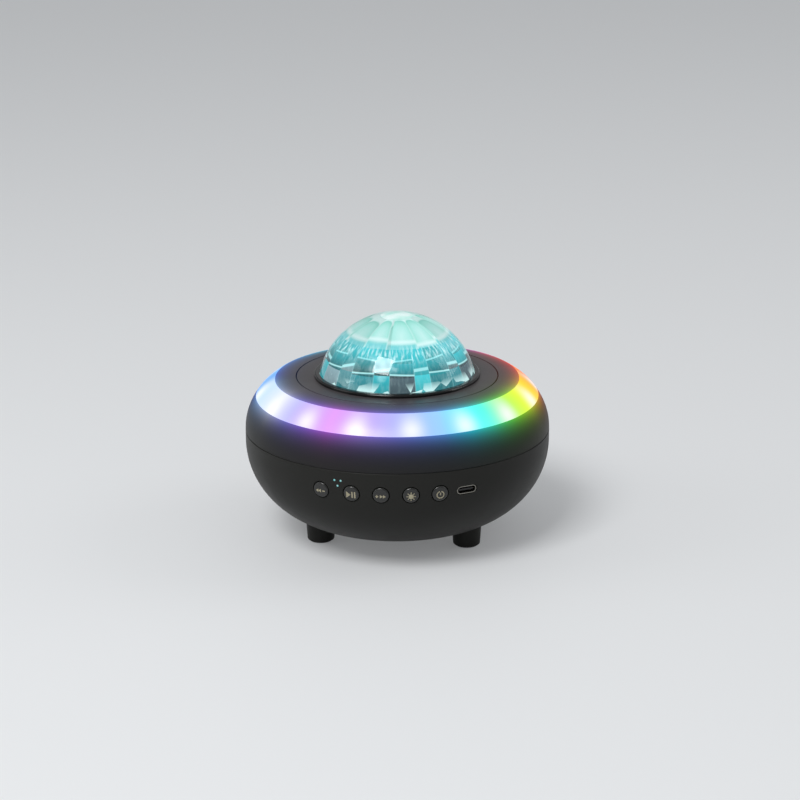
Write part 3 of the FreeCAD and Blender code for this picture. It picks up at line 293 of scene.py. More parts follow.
# %% Grain group
grain, grain_in, grain_out = start_group(
    "moulded_grain",
    [
        ("Colour", "Color", (0.5, 0.5, 0.5, 1)),
        ("Shade", "Float", 0.08),
        ("Roughness", "Float", 0.5),
        ("Patches", "Float", 0.08),
        ("Grains per metre", "Float", 3200),
    ],
    [("Colour", "Color"), ("Roughness", "Float"), ("Height", "Float")],
)
PATCHES_PER_METRE = 45.0
place = object_place(grain)
fine = noise(grain, place, grain_in[4])
wide = noise(grain, place, PATCHES_PER_METRE, 3.0)
patch = spread(grain, wide, 0.35, 0.7, -0.5, 0.5)
speck = spread(grain, fine, 0.3, 0.7, -0.5, 0.5)
both = math_node(grain, "ADD", times(grain, patch, 0.6), times(grain, speck, 0.4))
shade = math_node(grain, "ADD", 1.0, times(grain, both, grain_in[1]))
grain.links.new(scaled(grain, grain_in[0], shade), grain_out[0])
rough = math_node(grain, "ADD", grain_in[2], times(grain, patch, grain_in[3]))
grain.links.new(rough, grain_out[1])
grain.links.new(fine, grain_out[2])
print("group", grain.name)


# %% Plastic from the grain group
def plastic(name, colour, roughness, shade=0.08, patches=0.08, grains=3200, depth=0.00002, **sockets):
    """A plastic whose colour, roughness and bump come from the grain group."""
    material, tree, shader = start_material(name, **sockets)
    group = add(tree, "ShaderNodeGroup", node_tree=grain)
    values = ((*colour, 1), shade, roughness, patches, grains)
    for socket, value in zip(group.inputs, values):
        socket.default_value = value
    tree.links.new(group.outputs[0], shader.inputs["Base Color"])
    tree.links.new(group.outputs[1], shader.inputs["Roughness"])
    bump = add(tree, "ShaderNodeBump", {"Strength": 1.0, "Distance": depth, "Height": group.outputs[2]})
    tree.links.new(bump.outputs[0], shader.inputs["Normal"])
    return material


def dress(material, *names):
    """Gives the material to CAD pieces."""
    for name in names:
        slots = nodes[name].data.materials
        slots.clear()
        slots.append(material)


CHARCOAL = linear(38, 38, 36)
charcoal = plastic("charcoal_plastic", CHARCOAL, 0.46, Specular_IOR_Level=0.12)
# A copy of the charcoal plastic for the shoulder, so that it can carry the ring's painted glow.
shoulder = plastic("charcoal_painted_ring_glow", CHARCOAL, 0.46, Specular_IOR_Level=0.12)
warm_cover = plastic("warm_grey_plastic", linear(68, 64, 65), 0.38, Specular_IOR_Level=0.35)
glossy_black = plastic("glossy_black_plastic", linear(10, 10, 11), 0.12, patches=0.03, depth=0.000004)
button_black = plastic("button_plastic", linear(34, 34, 33), 0.24, patches=0.05, Specular_IOR_Level=0.5)
grille_black = plastic("grille_plastic", linear(30, 30, 30), 0.5)
rubber = plastic("pad_rubber", linear(36, 36, 37), 0.8, shade=0.2, grains=1600, depth=0.00005)
dress(charcoal, "lower_housing", "foot_left", "foot_right", "foot_rear")
dress(shoulder, "upper_housing")
dress(warm_cover, "top_cover", "dome_plate")
dress(glossy_black, "dome_collar")
BUTTONS = ("previous", "play", "next", "light", "power")
dress(button_black, *["button_" + name for name in BUTTONS])
dress(grille_black, "speaker_grille")
dress(rubber, "foot_pads", "speaker_gasket", "speaker_surround")
print("plastics dressed")

# %% [markdown]
# ## The glowing ring
# Behind the milky ring sit sixteen lamps, each of its own colour. The ring spreads their light, so the
# colour slides from one lamp to the next, and a paler spot shows where a lamp is near. Both follow from
# the angle round the upright axis: the colour is a ramp over one turn, and the spots are a cosine with
# sixteen waves, narrowed and cut off by height.

# %% Ring light group
RING_LAMPS = 16
FIRST_LAMP = 11.75
SPOT_SHARPNESS, SPOT_WHITENESS = 2.2, 0.7
RING_COLOURS = [
    (-180, (150, 110, 255)),
    (-152, (110, 120, 255)),
    (-135, (90, 235, 255)),
    (-112, (100, 190, 250)),
    (-88, (104, 168, 248)),
    (-74, (190, 220, 255)),
    (-56, (226, 232, 255)),
    (-44, (190, 188, 252)),
    (-34, (196, 164, 252)),
    (-22, (222, 154, 248)),
    (-6, (190, 166, 250)),
    (8, (170, 180, 252)),
    (24, (150, 204, 255)),
    (36, (80, 240, 255)),
    (46, (90, 248, 225)),
    (54, (150, 252, 170)),
    (63, (190, 250, 80)),
    (74, (232, 248, 40)),
    (86, (255, 216, 20)),
    (106, (255, 130, 0)),
    (122, (255, 60, 30)),
    (140, (250, 110, 190)),
    (160, (200, 140, 255)),
    (180, (150, 110, 255)),
]
ring_light, ring_in, ring_out = start_group(
    "ring_light",
    [("Spot height", "Float", 0.0649), ("Spot reach", "Float", 0.0044)],
    [("Colour", "Color"), ("Spot", "Float"), ("Hue", "Color")],
)
axes = axes_of(ring_light, object_place(ring_light))
angle = angle_round(ring_light, axes)
turn = math_node(ring_light, "ADD", math_node(ring_light, "DIVIDE", angle, math.tau), 0.5)
stops = [((a + 180) / 360, linear(*c)) for a, c in RING_COLOURS]
hue = ramp(ring_light, turn, stops)
from_lamp = minus(ring_light, angle, math.radians(FIRST_LAMP))
wave = math_node(ring_light, "COSINE", times(ring_light, from_lamp, float(RING_LAMPS)))
near = spread(ring_light, wave, -1.0, 1.0, 0.0, 1.0)
near = math_node(ring_light, "POWER", near, SPOT_SHARPNESS)
rise = math_node(ring_light, "DIVIDE", minus(ring_light, axes[2], ring_in[0]), ring_in[1])
far_off = times(ring_light, times(ring_light, rise, rise), -1.0)
drop = math_node(ring_light, "POWER", math.e, far_off)
spot = times(ring_light, times(ring_light, near, drop), SPOT_WHITENESS)
ring_light.links.new(mix_colour(ring_light, spot, hue, WHITE), ring_out[0])
ring_light.links.new(spot, ring_out[1])
ring_light.links.new(hue, ring_out[2])
print("ring light:", len(stops), "colours,", RING_LAMPS, "lamps")

# %% Ring material
diffuser, tree, shader = start_material("milky_ring", Roughness=0.35, Emission_Strength=0.9)
group = add(tree, "ShaderNodeGroup", node_tree=ring_light)
milk = mix_colour(tree, 0.78, group.outputs[0], BLACK)
tree.links.new(milk, shader.inputs["Base Color"])
tree.links.new(group.outputs[0], shader.inputs["Emission Color"])
dress(diffuser, "light_ring")
print("ring dressed")

# %% [markdown]
# The ring's light is painted on the housing just below it and on the cover just inside it, as a faint
# rim of the ring's own colour that fades over a few millimetres. The group measures how far a point is
# from the ring's two edges, and both plastics take its colour as a weak painted glow.

# %% Painted light beside the ring
painted_ring_glow, wash_in, wash_out = start_group(
    "painted_ring_glow",
    [("Lower edge", "Vector", (0.0621, 0, 0.0628)), ("Upper edge", "Vector", (0.0536, 0, 0.0704)),
     ("Fade", "Float", 0.0029), ("Strength", "Float", 0.5)],
    [("Colour", "Color")],
)
axes = axes_of(painted_ring_glow, object_place(painted_ring_glow))
across = times(painted_ring_glow, axes[0], axes[0])
along = times(painted_ring_glow, axes[1], axes[1])
radius = math_node(painted_ring_glow, "SQRT", math_node(painted_ring_glow, "ADD", across, along))
spot = add(painted_ring_glow, "ShaderNodeCombineXYZ", {"X": radius, "Z": axes[2]}).outputs[0]
gaps = [
    add(painted_ring_glow, "ShaderNodeVectorMath", {0: spot, 1: wash_in[k]}, operation="DISTANCE").outputs["Value"]
    for k in (0, 1)
]
nearest = math_node(painted_ring_glow, "MINIMUM", *gaps)
fading = times(painted_ring_glow, math_node(painted_ring_glow, "DIVIDE", nearest, wash_in[2]), -1.0)
glow = times(painted_ring_glow, math_node(painted_ring_glow, "POWER", math.e, fading), wash_in[3])
hue = add(painted_ring_glow, "ShaderNodeGroup", node_tree=ring_light).outputs["Hue"]
deep = add(painted_ring_glow, "ShaderNodeVectorMath", {0: hue, 1: hue}, operation="MULTIPLY").outputs[0]
painted_ring_glow.links.new(scaled(painted_ring_glow, deep, glow), wash_out[0])
# Painted light: the ring's colour glows on the shoulder and the cover, though neither is a lamp.
for material in (shoulder, warm_cover):
    tree = material.node_tree
    shader = tree.nodes["Principled BSDF"]
    wash = add(tree, "ShaderNodeGroup", node_tree=painted_ring_glow)
    tree.links.new(wash.outputs[0], shader.inputs["Emission Color"])
    shader.inputs["Emission Strength"].default_value = 1.0
print("group", painted_ring_glow.name)

# %% [markdown]
# ## The dome
# The dome is smooth outside. Inside it is cut into facets, and each facet throws its own bent picture of
# the lamps below, so it looks like a wall of bright glass tiles. Below, the facets stand in eleven pairs of
# columns, one wide and one narrow. Above, they are larger, in six pairs, and five wide ones close the
# top. One share of each zone is drawn as a grid of small pillows. A geometry nodes tree turns it
# round the axis and gives each facet its own random number, which the material then reads as its tone.

# %% Facet sizes
DOME_CENTRE_Z = 64.0
DOME_R = 35.2
FACET_R = 34.0
PILLOW = 0.35
PAIRS, WIDE = 11, 20.0
LOW_WIDE_ROWS, LOW_NARROW_ROWS = (8, 25.5, 36, 47), (8, 27, 47)
HIGH_PAIRS, HIGH_WIDE, HIGH_TURN = 6, 34.0, -5.0
HIGH_ROWS = (47, 78)
CAP_SHARES = 5
CAP_ROWS = (78, 90)
STEPS = 8


def on_dome(radius, azimuth, elevation):
    """A point of a sphere round the dome's centre, in mm, from its two angles in degrees."""
    a, e = math.radians(azimuth), math.radians(elevation)
    flat = radius * math.cos(e)
    return Vector((flat * math.sin(a), -flat * math.cos(a), DOME_CENTRE_Z + radius * math.sin(e)))


print(PAIRS * (len(LOW_WIDE_ROWS) + len(LOW_NARROW_ROWS) - 2) + HIGH_PAIRS * 2 + CAP_SHARES, "facets")

# %% One share of each zone
def draw_facet(work, uv, cell, start, width, low, high, number):
    """One facet: a small grid that swells towards its middle. At the pole its top is a single point."""
    grid = []
    for j in range(STEPS + 1):
        v = j / STEPS
        line = []
        for i in range(STEPS + 1):
            u = i / STEPS
            swell = PILLOW * 4 * u * (1 - u) * 4 * v * (1 - v)
            spot = on_dome(FACET_R + swell, start + width * u, low * (1 - v) + high * v)
            at_pole = high == 90 and j == STEPS and i
            line.append(line[0] if at_pole else work.verts.new(spot * MM))
        grid.append(line)
    for j in range(STEPS):
        for i in range(STEPS):
            corners = ((i, j), (i + 1, j), (i + 1, j + 1), (i, j + 1))
            if grid[j + 1][i] is grid[j + 1][i + 1]:
                corners = corners[:3]
            face = work.faces.new([grid[b][a] for a, b in corners])
            face.smooth = True
            face[cell] = number
            for loop, (a, b) in zip(face.loops, corners):
                loop[uv].uv = (a / STEPS, b / STEPS)


def draw_column(work, uv, cell, start, width, rows, first):
    """The facets of one column, from the lowest row up. first is the number of the lowest one."""
    for row, (low, high) in enumerate(zip(rows, rows[1:])):
        draw_facet(work, uv, cell, start, width, low, high, first + row)


def draw_share(name, *columns):
    """The columns of one share of a zone. Each is its start and width in degrees and its rows."""
    work = bmesh.new()
    uv = work.loops.layers.uv.new("facet")
    cell = work.faces.layers.int.new("cell")
    first = 0
    for start, width, rows in columns:
        draw_column(work, uv, cell, start, width, rows, first)
        first += len(rows)
    mesh = bpy.data.meshes.new(name)
    work.to_mesh(mesh)
    work.free()
    share = bpy.data.objects.new(name, mesh)
    scene.collection.objects.link(share)
    return share


low_share = draw_share("low_share", (0, WIDE, LOW_WIDE_ROWS), (WIDE, 360 / PAIRS - WIDE, LOW_NARROW_ROWS))
high_narrow = 360 / HIGH_PAIRS - HIGH_WIDE
high_share = draw_share(
    "high_share", (HIGH_TURN, HIGH_WIDE, HIGH_ROWS), (HIGH_TURN + HIGH_WIDE, high_narrow, HIGH_ROWS)
)
cap_share = draw_share("cap_share", (HIGH_TURN, 360 / CAP_SHARES, CAP_ROWS))
print([len(share.data.polygons) for share in (low_share, high_share, cap_share)], "faces in the shares")

# %% [markdown]
# The tree makes one point for each share, stands the share on it, turned, and turns the instances into
# real mesh. Then it stores a random tone on every face, chosen by the facet's number and by its share,
# so one facet has one tone. No share has more than sixteen facets, so no two keys are the same.

# %% Facet tree
MOST_CELLS = 16.0


def tree_socket(tree, label, kind, default=None):
    """A named input of a geometry tree. It returns the identifier by which a modifier sets it."""
    socket = tree.interface.new_socket(label, in_out="INPUT", socket_type="NodeSocket" + kind)
    if default is not None:
        socket.default_value = default
    return socket.identifier


ring_of = bpy.data.node_groups.new("turn_round", "GeometryNodeTree")
tree_socket(ring_of, "Geometry", "Geometry")
count_id = tree_socket(ring_of, "Count", "Int", 12)
seed_id = tree_socket(ring_of, "Seed", "Int", 3)
paint_id = tree_socket(ring_of, "Material", "Material")
ring_of.interface.new_socket("Geometry", in_out="OUTPUT", socket_type="NodeSocketGeometry")
source = ring_of.nodes.new("NodeGroupInput").outputs
points = add(ring_of, "GeometryNodePoints", {"Count": source["Count"]})
number = add(ring_of, "GeometryNodeInputIndex").outputs[0]
share = math_node(ring_of, "DIVIDE", math.tau, source["Count"])
spin = add(ring_of, "ShaderNodeCombineXYZ", {"Z": times(ring_of, number, share)})
copies = add(
    ring_of,
    "GeometryNodeInstanceOnPoints",
    {"Points": points.outputs[0], "Instance": source["Geometry"], "Rotation": spin.outputs[0]},
)
real = add(ring_of, "GeometryNodeRealizeInstances", {0: copies.outputs[0]})
cell_number = add(ring_of, "GeometryNodeInputNamedAttribute", {0: "cell"}, data_type="INT").outputs[0]
axes = axes_of(ring_of, add(ring_of, "GeometryNodeInputPosition").outputs[0])
angle = angle_round(ring_of, axes)
sector = math_node(ring_of, "FLOOR", math_node(ring_of, "DIVIDE", angle, share))
key = math_node(ring_of, "ADD", times(ring_of, sector, MOST_CELLS), cell_number)
chance = add(ring_of, "FunctionNodeRandomValue", {"ID": key, "Seed": source["Seed"]}).outputs[1]
store = add(
    ring_of,
    "GeometryNodeStoreNamedAttribute",
    {"Geometry": real.outputs[0], "Name": "tone", "Value": chance},
    data_type="FLOAT",
    domain="FACE",
)
paint = {"Geometry": store.outputs[0], "Material": source["Material"]}
painted = add(ring_of, "GeometryNodeSetMaterial", paint)
ring_of.links.new(painted.outputs[0], ring_of.nodes.new("NodeGroupOutput").inputs[0])
print("tree", ring_of.name)

# %% [markdown]
# The light of the lamps below is painted on each tile as a glow. The large tiles of the upper half are a
# pale mint, because there the light of all lamps runs together, and each shows a green arch near its top
# and a painted white line of light near its foot. The tiles of the lower rows are teal, cyan and grey,
# painted darker towards their foot. A painted bright slanted line cuts each of them, with another tone
# below it, and painted white glints gather near the rim. Each group reads where a point lies in its tile,
# from 0 to 1 across and up, and the tile's own random tone.

# %% Upper tile group
GREEN_ARCH = [
    (0.0, linear(198, 241, 237)),
    (0.5, linear(176, 234, 227)),
    (0.76, linear(152, 224, 212)),
    (0.89, linear(134, 212, 200)),
    (0.96, linear(196, 239, 234)),
    (1.0, linear(214, 246, 243)),
]
FOOT_CYAN, FOOT_LINE, SIDE_PALE = linear(104, 208, 216), linear(226, 250, 250), linear(214, 245, 244)
upper_tile, upper_in, upper_out = start_group(
    "upper_tile", [("Tile place", "Vector", (0, 0, 0)), ("Tone", "Float", 0.5)], [("Colour", "Color")]
)
tone = upper_in[1]
across, up = axes_of(upper_tile, upper_in[0])[:2]
off_middle = math_node(upper_tile, "ABSOLUTE", minus(upper_tile, across, 0.5))
side = math_node(upper_tile, "POWER", times(upper_tile, off_middle, 1.5), 3.0)
start = spread(upper_tile, tone, 0.0, 1.0, 0.2, 0.42)
rise = math_node(upper_tile, "MAXIMUM", minus(upper_tile, up, start), 0.0)
rise = math_node(upper_tile, "POWER", times(upper_tile, rise, 1.6), 3.0)
arch = math_node(upper_tile, "POWER", math_node(upper_tile, "ADD", side, rise), 1 / 3)
colour = ramp(upper_tile, arch, GREEN_ARCH)
foot = math_node(upper_tile, "FRACT", times(upper_tile, tone, 5.17))
foot = spread(upper_tile, foot, 0.0, 1.0, 0.03, 0.3)
below = spread(upper_tile, up, times(upper_tile, foot, 0.4), foot, 0.85, 0.0)
colour = mix_colour(upper_tile, below, colour, FOOT_CYAN)
# Painted highlight: a white line of light near the tile's foot.
from_foot = math_node(upper_tile, "ABSOLUTE", minus(upper_tile, up, foot))
colour = mix_colour(upper_tile, spread(upper_tile, from_foot, 0.01, 0.09, 0.8, 0.0), colour, FOOT_LINE)
# Painted highlight: the tile is paler at its two sides.
colour = mix_colour(upper_tile, spread(upper_tile, off_middle, 0.44, 0.5, 0.0, 0.6), colour, SIDE_PALE)
own = spread(upper_tile, tone, 0.0, 1.0, 0.8, 1.03)
upper_tile.links.new(scaled(upper_tile, colour, own), upper_out[0])
print("group", upper_tile.name)

# %% Lower tile group
TONES = [
    (0.0, linear(42, 128, 138)),
    (0.13, linear(50, 196, 208)),
    (0.26, linear(84, 108, 118)),
    (0.4, linear(54, 158, 170)),
    (0.52, linear(78, 222, 232)),
    (0.63, linear(62, 96, 98)),
    (0.76, linear(48, 146, 156)),
    (0.88, linear(150, 182, 192)),
    (0.95, linear(206, 214, 204)),
]
LINE_HEIGHT, LINE_SLOPE = 0.2, 0.45
LINE_PALE, JOIN_PALE = linear(190, 248, 250), linear(170, 235, 240)
lower_tile, lower_in, lower_out = start_group(
    "lower_tile",
    [("Tile place", "Vector", (0, 0, 0)), ("Tone", "Float", 0.5), ("Line width", "Float", 0.035)],
    [("Colour", "Color")],
)
tone, width = lower_in[1], lower_in[2]
across, up = axes_of(lower_tile, lower_in[0])[:2]
second = math_node(lower_tile, "FRACT", times(lower_tile, tone, 7.31))
slope = times(lower_tile, minus(lower_tile, second, 0.5), LINE_SLOPE)
slant = times(lower_tile, slope, minus(lower_tile, across, 0.5))
above = minus(lower_tile, up, math_node(lower_tile, "ADD", LINE_HEIGHT, slant))
colour = mix_colour(
    lower_tile,
    spread(lower_tile, above, -0.01, 0.01, 0.0, 1.0),
    ramp(lower_tile, second, TONES, "CONSTANT"),
    ramp(lower_tile, tone, TONES, "CONSTANT"),
)
# Painted shade: the colour is darker towards the tile's foot.
lift = spread(lower_tile, up, 0.2, 1.0, 0.48, 0.84)
colour = scaled(lower_tile, colour, lift)
# Painted highlight: a pale line along the slant.
from_line = math_node(lower_tile, "ABSOLUTE", above)
line = spread(lower_tile, from_line, width, times(lower_tile, width, 2.2), 0.8, 0.0)
colour = mix_colour(lower_tile, line, colour, LINE_PALE)
# Painted highlight: a pale rim at the tile's two sides.
edge = times(lower_tile, times(lower_tile, across, minus(lower_tile, 1.0, across)), 4.0)
colour = mix_colour(lower_tile, spread(lower_tile, edge, 0.0, 0.14, 0.35, 0.0), colour, JOIN_PALE)
lower_tile.links.new(colour, lower_out[0])
print("group", lower_tile.name, len(TONES), "tones")

# %% [markdown]
# The next group chooses between the two kinds of tile by height. It adds painted light that runs over all
# tiles: a cyan haze that grows upwards, clouds on the cap, a belt of fine white streaks where the two halves
# meet, and painted white glints at the rim. All heights are in metres above the floor.

# %% Tile light group
def zone_foot(rows):
    """The height of the foot of a zone, just inside it."""
    return (DOME_CENTRE_Z + FACET_R * math.sin(math.radians(rows[0]))) * MM + 0.00002


RIM_GLINTS = (0.0735, 0.0768)
HAZE = (0.079, 0.0872)
BELT_FOOT, BELT_TOP = (0.0835, 0.0868), (0.0882, 0.0905)
STREAKS_ROUND, STREAKS_UP = 26.0, 330.0
HAZE_CYAN, RIM_GLINT_WHITE, STREAK_WHITE = linear(78, 218, 228), linear(214, 250, 250), linear(215, 250, 252)
CAP_WHITE, CAP_GREEN = linear(232, 251, 249), linear(176, 235, 224)
tile_light, tile_in, tile_out = start_group(
    "tile_light", [("Tile place", "Vector", (0, 0, 0)), ("Tone", "Float", 0.5)], [("Colour", "Color")]
)
place = object_place(tile_light)
axes = axes_of(tile_light, place)
height = axes[2]
high_tile, low_tile = [
    add(tile_light, "ShaderNodeGroup", {0: tile_in[0], 1: tile_in[1]}, node_tree=kind).outputs[0]
    for kind in (upper_tile, lower_tile)
]
low_tile = mix_colour(tile_light, spread(tile_light, height, *HAZE, 0.0, 0.6), low_tile, HAZE_CYAN)
above = math_node(tile_light, "GREATER_THAN", height, zone_foot(HIGH_ROWS))
colour = mix_colour(tile_light, above, low_tile, high_tile)
cloud = spread(tile_light, noise(tile_light, place, 130.0, 1.0), 0.42, 0.62, 0.0, 1.0)
cap_colour = mix_colour(tile_light, cloud, CAP_WHITE, CAP_GREEN)
on_cap = math_node(tile_light, "GREATER_THAN", height, zone_foot(CAP_ROWS))
colour = mix_colour(tile_light, on_cap, colour, cap_colour)
round_way = times(tile_light, angle_round(tile_light, axes), STREAKS_ROUND)
upward = times(tile_light, height, STREAKS_UP)
streak_map = add(tile_light, "ShaderNodeCombineXYZ", {"X": round_way, "Y": upward}).outputs[0]
streak = spread(tile_light, noise(tile_light, streak_map, 1.0), 0.46, 0.7, 0.0, 0.8)
belt = times(
    tile_light,
    spread(tile_light, height, *BELT_FOOT, 0.0, 1.0),
    spread(tile_light, height, *BELT_TOP, 1.0, 0.0),
)
streak = times(tile_light, streak, math_node(tile_light, "ADD", belt, 0.1))
colour = mix_colour(tile_light, streak, colour, STREAK_WHITE)
# Painted glints: scattered white patches near the dome's rim.
cells = add(tile_light, "ShaderNodeTexVoronoi", {"Vector": place, "Scale": 210.0})
chance = axes_of(tile_light, cells.outputs["Color"])[0]
bright = spread(tile_light, chance, 0.55, 0.62, 0.0, 0.85)
near_rim = spread(tile_light, height, *RIM_GLINTS, 1.0, 0.0)
colour = mix_colour(tile_light, times(tile_light, bright, near_rim), colour, RIM_GLINT_WHITE)
tile_light.links.new(colour, tile_out[0])
print("group", tile_light.name)

# %% Tile material
# Painted light: the tiles glow with the light of the lamps below, though the dome is no lamp.
tiles, tree, shader = start_material(
    "lit_tiles", Roughness=0.2, Emission_Strength=1.0, Specular_IOR_Level=0.3
)
tile_uv = add(tree, "ShaderNodeUVMap", uv_map="facet").outputs[0]
tone = add(tree, "ShaderNodeAttribute", attribute_name="tone").outputs["Fac"]
group = add(tree, "ShaderNodeGroup", {0: tile_uv, 1: tone}, node_tree=tile_light)
dark = mix_colour(tree, 0.88, group.outputs[0], BLACK)
tree.links.new(dark, shader.inputs["Base Color"])
tree.links.new(group.outputs[0], shader.inputs["Emission Color"])
print("tiles ready")


# %% Make the facets
def from_tree(source_object, tree, name, **inputs):
    """Runs a geometry nodes tree on an object and returns the result as a new plain object."""
    modifier = source_object.modifiers.new("tree", "NODES")
    modifier.node_group = tree
    for identifier, value in inputs.items():
        modifier[identifier] = value
    evaluated = source_object.evaluated_get(bpy.context.evaluated_depsgraph_get())
    mesh = bpy.data.meshes.new_from_object(evaluated)
    mesh.name = name
    result = bpy.data.objects.new(name, mesh)
    scene.collection.objects.link(result)
    bpy.data.objects.remove(source_object)
    return result


ZONES = [
    ("low_facets", low_share, PAIRS, 294),
    ("high_facets", high_share, HIGH_PAIRS, 3),
    ("cap_facets", cap_share, CAP_SHARES, 5),
]
for name, share, count, seed in ZONES:
    facets = from_tree(share, ring_of, name, **{count_id: count, seed_id: seed, paint_id: tiles})
    print(name, len(facets.data.polygons), "faces")
    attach(facets, "base")

# %% [markdown]
# The smooth outer skin is one turned profile, closed by a flat base. It is clear and solid, so the tiles
# below its surface are seen bent, and they fill the dome right up to its outline.

# %% Outer skin of the dome
SKIN_LOW = 7.4
SKIN_TURNS, SKIN_ROWS = 128, 40
MERGE = 1e-6


def dome_skin():
    """A closed dome with a flat base. The base is shaded flat, the rest smooth."""
    work = bmesh.new()
    rise = (90 - SKIN_LOW) / SKIN_ROWS
    outer = [on_dome(DOME_R, 0, SKIN_LOW + rise * k) for k in range(SKIN_ROWS + 1)]
    profile = [Vector((0, 0, outer[0].z))] + outer
    verts = [work.verts.new(point * MM) for point in profile]
    edges = [work.edges.new(pair) for pair in zip(verts, verts[1:])]
    bmesh.ops.spin(
        work,
        geom=verts + edges,
        axis=(0, 0, 1),
        cent=(0, 0, 0),
        steps=SKIN_TURNS,
        angle=math.tau,
    )
    bmesh.ops.remove_doubles(work, verts=work.verts, dist=MERGE)
    bmesh.ops.recalc_face_normals(work, faces=work.faces)
    base_z = outer[0].z * MM
    for face in work.faces:
        face.smooth = max(vert.co.z for vert in face.verts) > base_z + MERGE
    mesh = bpy.data.meshes.new("dome_skin")
    work.to_mesh(mesh)
    work.free()
    skin = bpy.data.objects.new("dome_skin", mesh)
    scene.collection.objects.link(skin)
    return skin


clear, tree, shader = start_material(
    "clear_dome_plastic", Roughness=0.03, IOR=1.49, Transmission_Weight=1.0, Base_Color=(0.93, 1.0, 1.0, 1)
)
skin = dome_skin()
skin.data.materials.append(clear)
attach(skin, "base")
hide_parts("dome_lens")
print(len(skin.data.polygons), "faces in the skin")

# %% [markdown]
# ## Marks on the buttons
# Each button carries one small printed mark: back, play, forward, light and power. They are flat shapes
# drawn in a plane. Each is turned to its button, whose direction is the axis of its joint, and every
# corner is then laid on the button's curved face, so the print has no gap under it.

# %% Draw the marks
BUTTON_Z = (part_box("button_next")[0].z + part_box("button_next")[1].z) / 2 / MM
MARK_LOWER = 0.4
MARK_T = 0.05


def bar(x0, x1, y0, y1):
    return [(x0, y0), (x1, y0), (x1, y1), (x0, y1)]


def arrow(base, tip, half):
    return [(base, -half), (base, half), (tip, 0)]


def arc(radius, width, first, last, steps):
    """A ring or a part of one, between two angles in degrees, as four-cornered pieces."""
    angles = [math.radians(first + (last - first) * k / steps) for k in range(steps + 1)]
    outer = [(radius * math.cos(a), radius * math.sin(a)) for a in angles]
    inner = [((radius - width) * math.cos(a), (radius - width) * math.sin(a)) for a in angles]
    return [[outer[k], outer[k + 1], inner[k + 1], inner[k]] for k in range(steps)]


def ray(angle, near, far, half):
    """A bar that points away from the middle."""
    c, s = math.cos(angle), math.sin(angle)
    return [(x * c - y * s, x * s + y * c) for x, y in bar(near, far, -half, half)]


MARKS = {
    "previous": [arrow(-1.0, -2.2, 0.78), arrow(0.2, -1.0, 0.78), bar(0.8, 2.15, -0.24, 0.24)],
    "play": [arrow(-2.1, -0.15, 1.45), bar(0.2, 0.8, -1.4, 1.4), bar(1.35, 1.95, -1.4, 1.4)],
    "next": [
        bar(-2.2, -1.0, -0.21, 0.21),
        bar(-1.81, -1.39, -0.62, 0.62),
        arrow(-0.35, 0.95, 0.76),
        arrow(0.95, 2.25, 0.76),
    ],
    "light": arc(1.1, 1.08, 0, 360, 24) + [ray(math.radians(45 * k), 1.32, 1.95, 0.19) for k in range(8)],
    "power": arc(1.72, 0.45, 103, 437, 40) + [bar(-0.23, 0.23, -0.2, 1.0)],
}
print(len(MARKS), "marks at height", round(BUTTON_Z - MARK_LOWER, 2), "mm")

# %% Put the marks on the buttons
print_ink = plastic("pale_print", linear(160, 153, 128), 0.45, shade=0.5, patches=0.1, grains=1400)
WELL_OUTSIDE = 100
press_axes = {joint["child"]: joint["axis"] for joint in frame["record"]["behaviour"]["joints"]}


def laid_on(node, turn_to, x, y, lift):
    """The point of the node's front under (x, y), lifted off it. It takes mm and returns metres."""
    start = turn_to @ (Vector((x, -WELL_OUTSIDE, BUTTON_Z - MARK_LOWER + y)) * MM)
    inward = turn_to @ Vector((0, 1, 0))
    found, where = node.ray_cast(start, inward)[:2]
    assert found, "a mark reaches past its button"
    return where - inward * lift * MM


def make_mark(name, shapes):
    """One button's mark: every flat shape gets a front on the button and a back just inside it."""
    inward = press_axes[name + "_button"]
    turn_to = Matrix.Rotation(math.atan2(-inward[0], inward[1]), 3, "Z")
    work = bmesh.new()
    button = nodes["button_" + name]
    for shape in shapes:
        front = [work.verts.new(laid_on(button, turn_to, x, y, MARK_T)) for x, y in shape]
        back = [work.verts.new(laid_on(button, turn_to, x, y, -MARK_T)) for x, y in shape]
        work.faces.new(front)
        work.faces.new(back[::-1])
        for k in range(len(shape)):
            n = (k + 1) % len(shape)
            work.faces.new((front[n], front[k], back[k], back[n]))
    bmesh.ops.recalc_face_normals(work, faces=work.faces)
    mesh = bpy.data.meshes.new("mark_" + name)
    work.to_mesh(mesh)
    work.free()
    mark = bpy.data.objects.new("mark_" + name, mesh)
    scene.collection.objects.link(mark)
    mark.data.materials.append(print_ink)
    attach(mark, name + "_button")
    return mark


for name, shapes in MARKS.items():
    mark = make_mark(name, shapes)
    print(mark.name, len(mark.data.polygons), "faces")

# %% [markdown]
# ## Port, lights and inner pieces
# The port's shell is bare steel. The three pin lights glow cyan. The pieces inside are sealed, yet
# each gets its true finish, because the model can be opened.

# %% Metals and small pieces
def metal(name, colour, roughness, stretch, depth=0.000008):
    """A metal with fine lines along the axis where stretch is small."""
    material, tree, shader = start_material(name, Metallic=1.0)
    lines = add(tree, "ShaderNodeMapping", {0: object_place(tree), 3: stretch}).outputs[0]
    line = noise(tree, lines, 1.0, 3.0)
    rough = spread(tree, line, 0.3, 0.7, roughness - 0.06, roughness + 0.1)
    tree.links.new(rough, shader.inputs["Roughness"])
    dull = tuple(c * 0.8 for c in colour)
    tree.links.new(mix_colour(tree, line, colour, dull), shader.inputs["Base Color"])
    bump = add(tree, "ShaderNodeBump", {"Distance": depth, "Height": line})
    tree.links.new(bump.outputs[0], shader.inputs["Normal"])
    return material


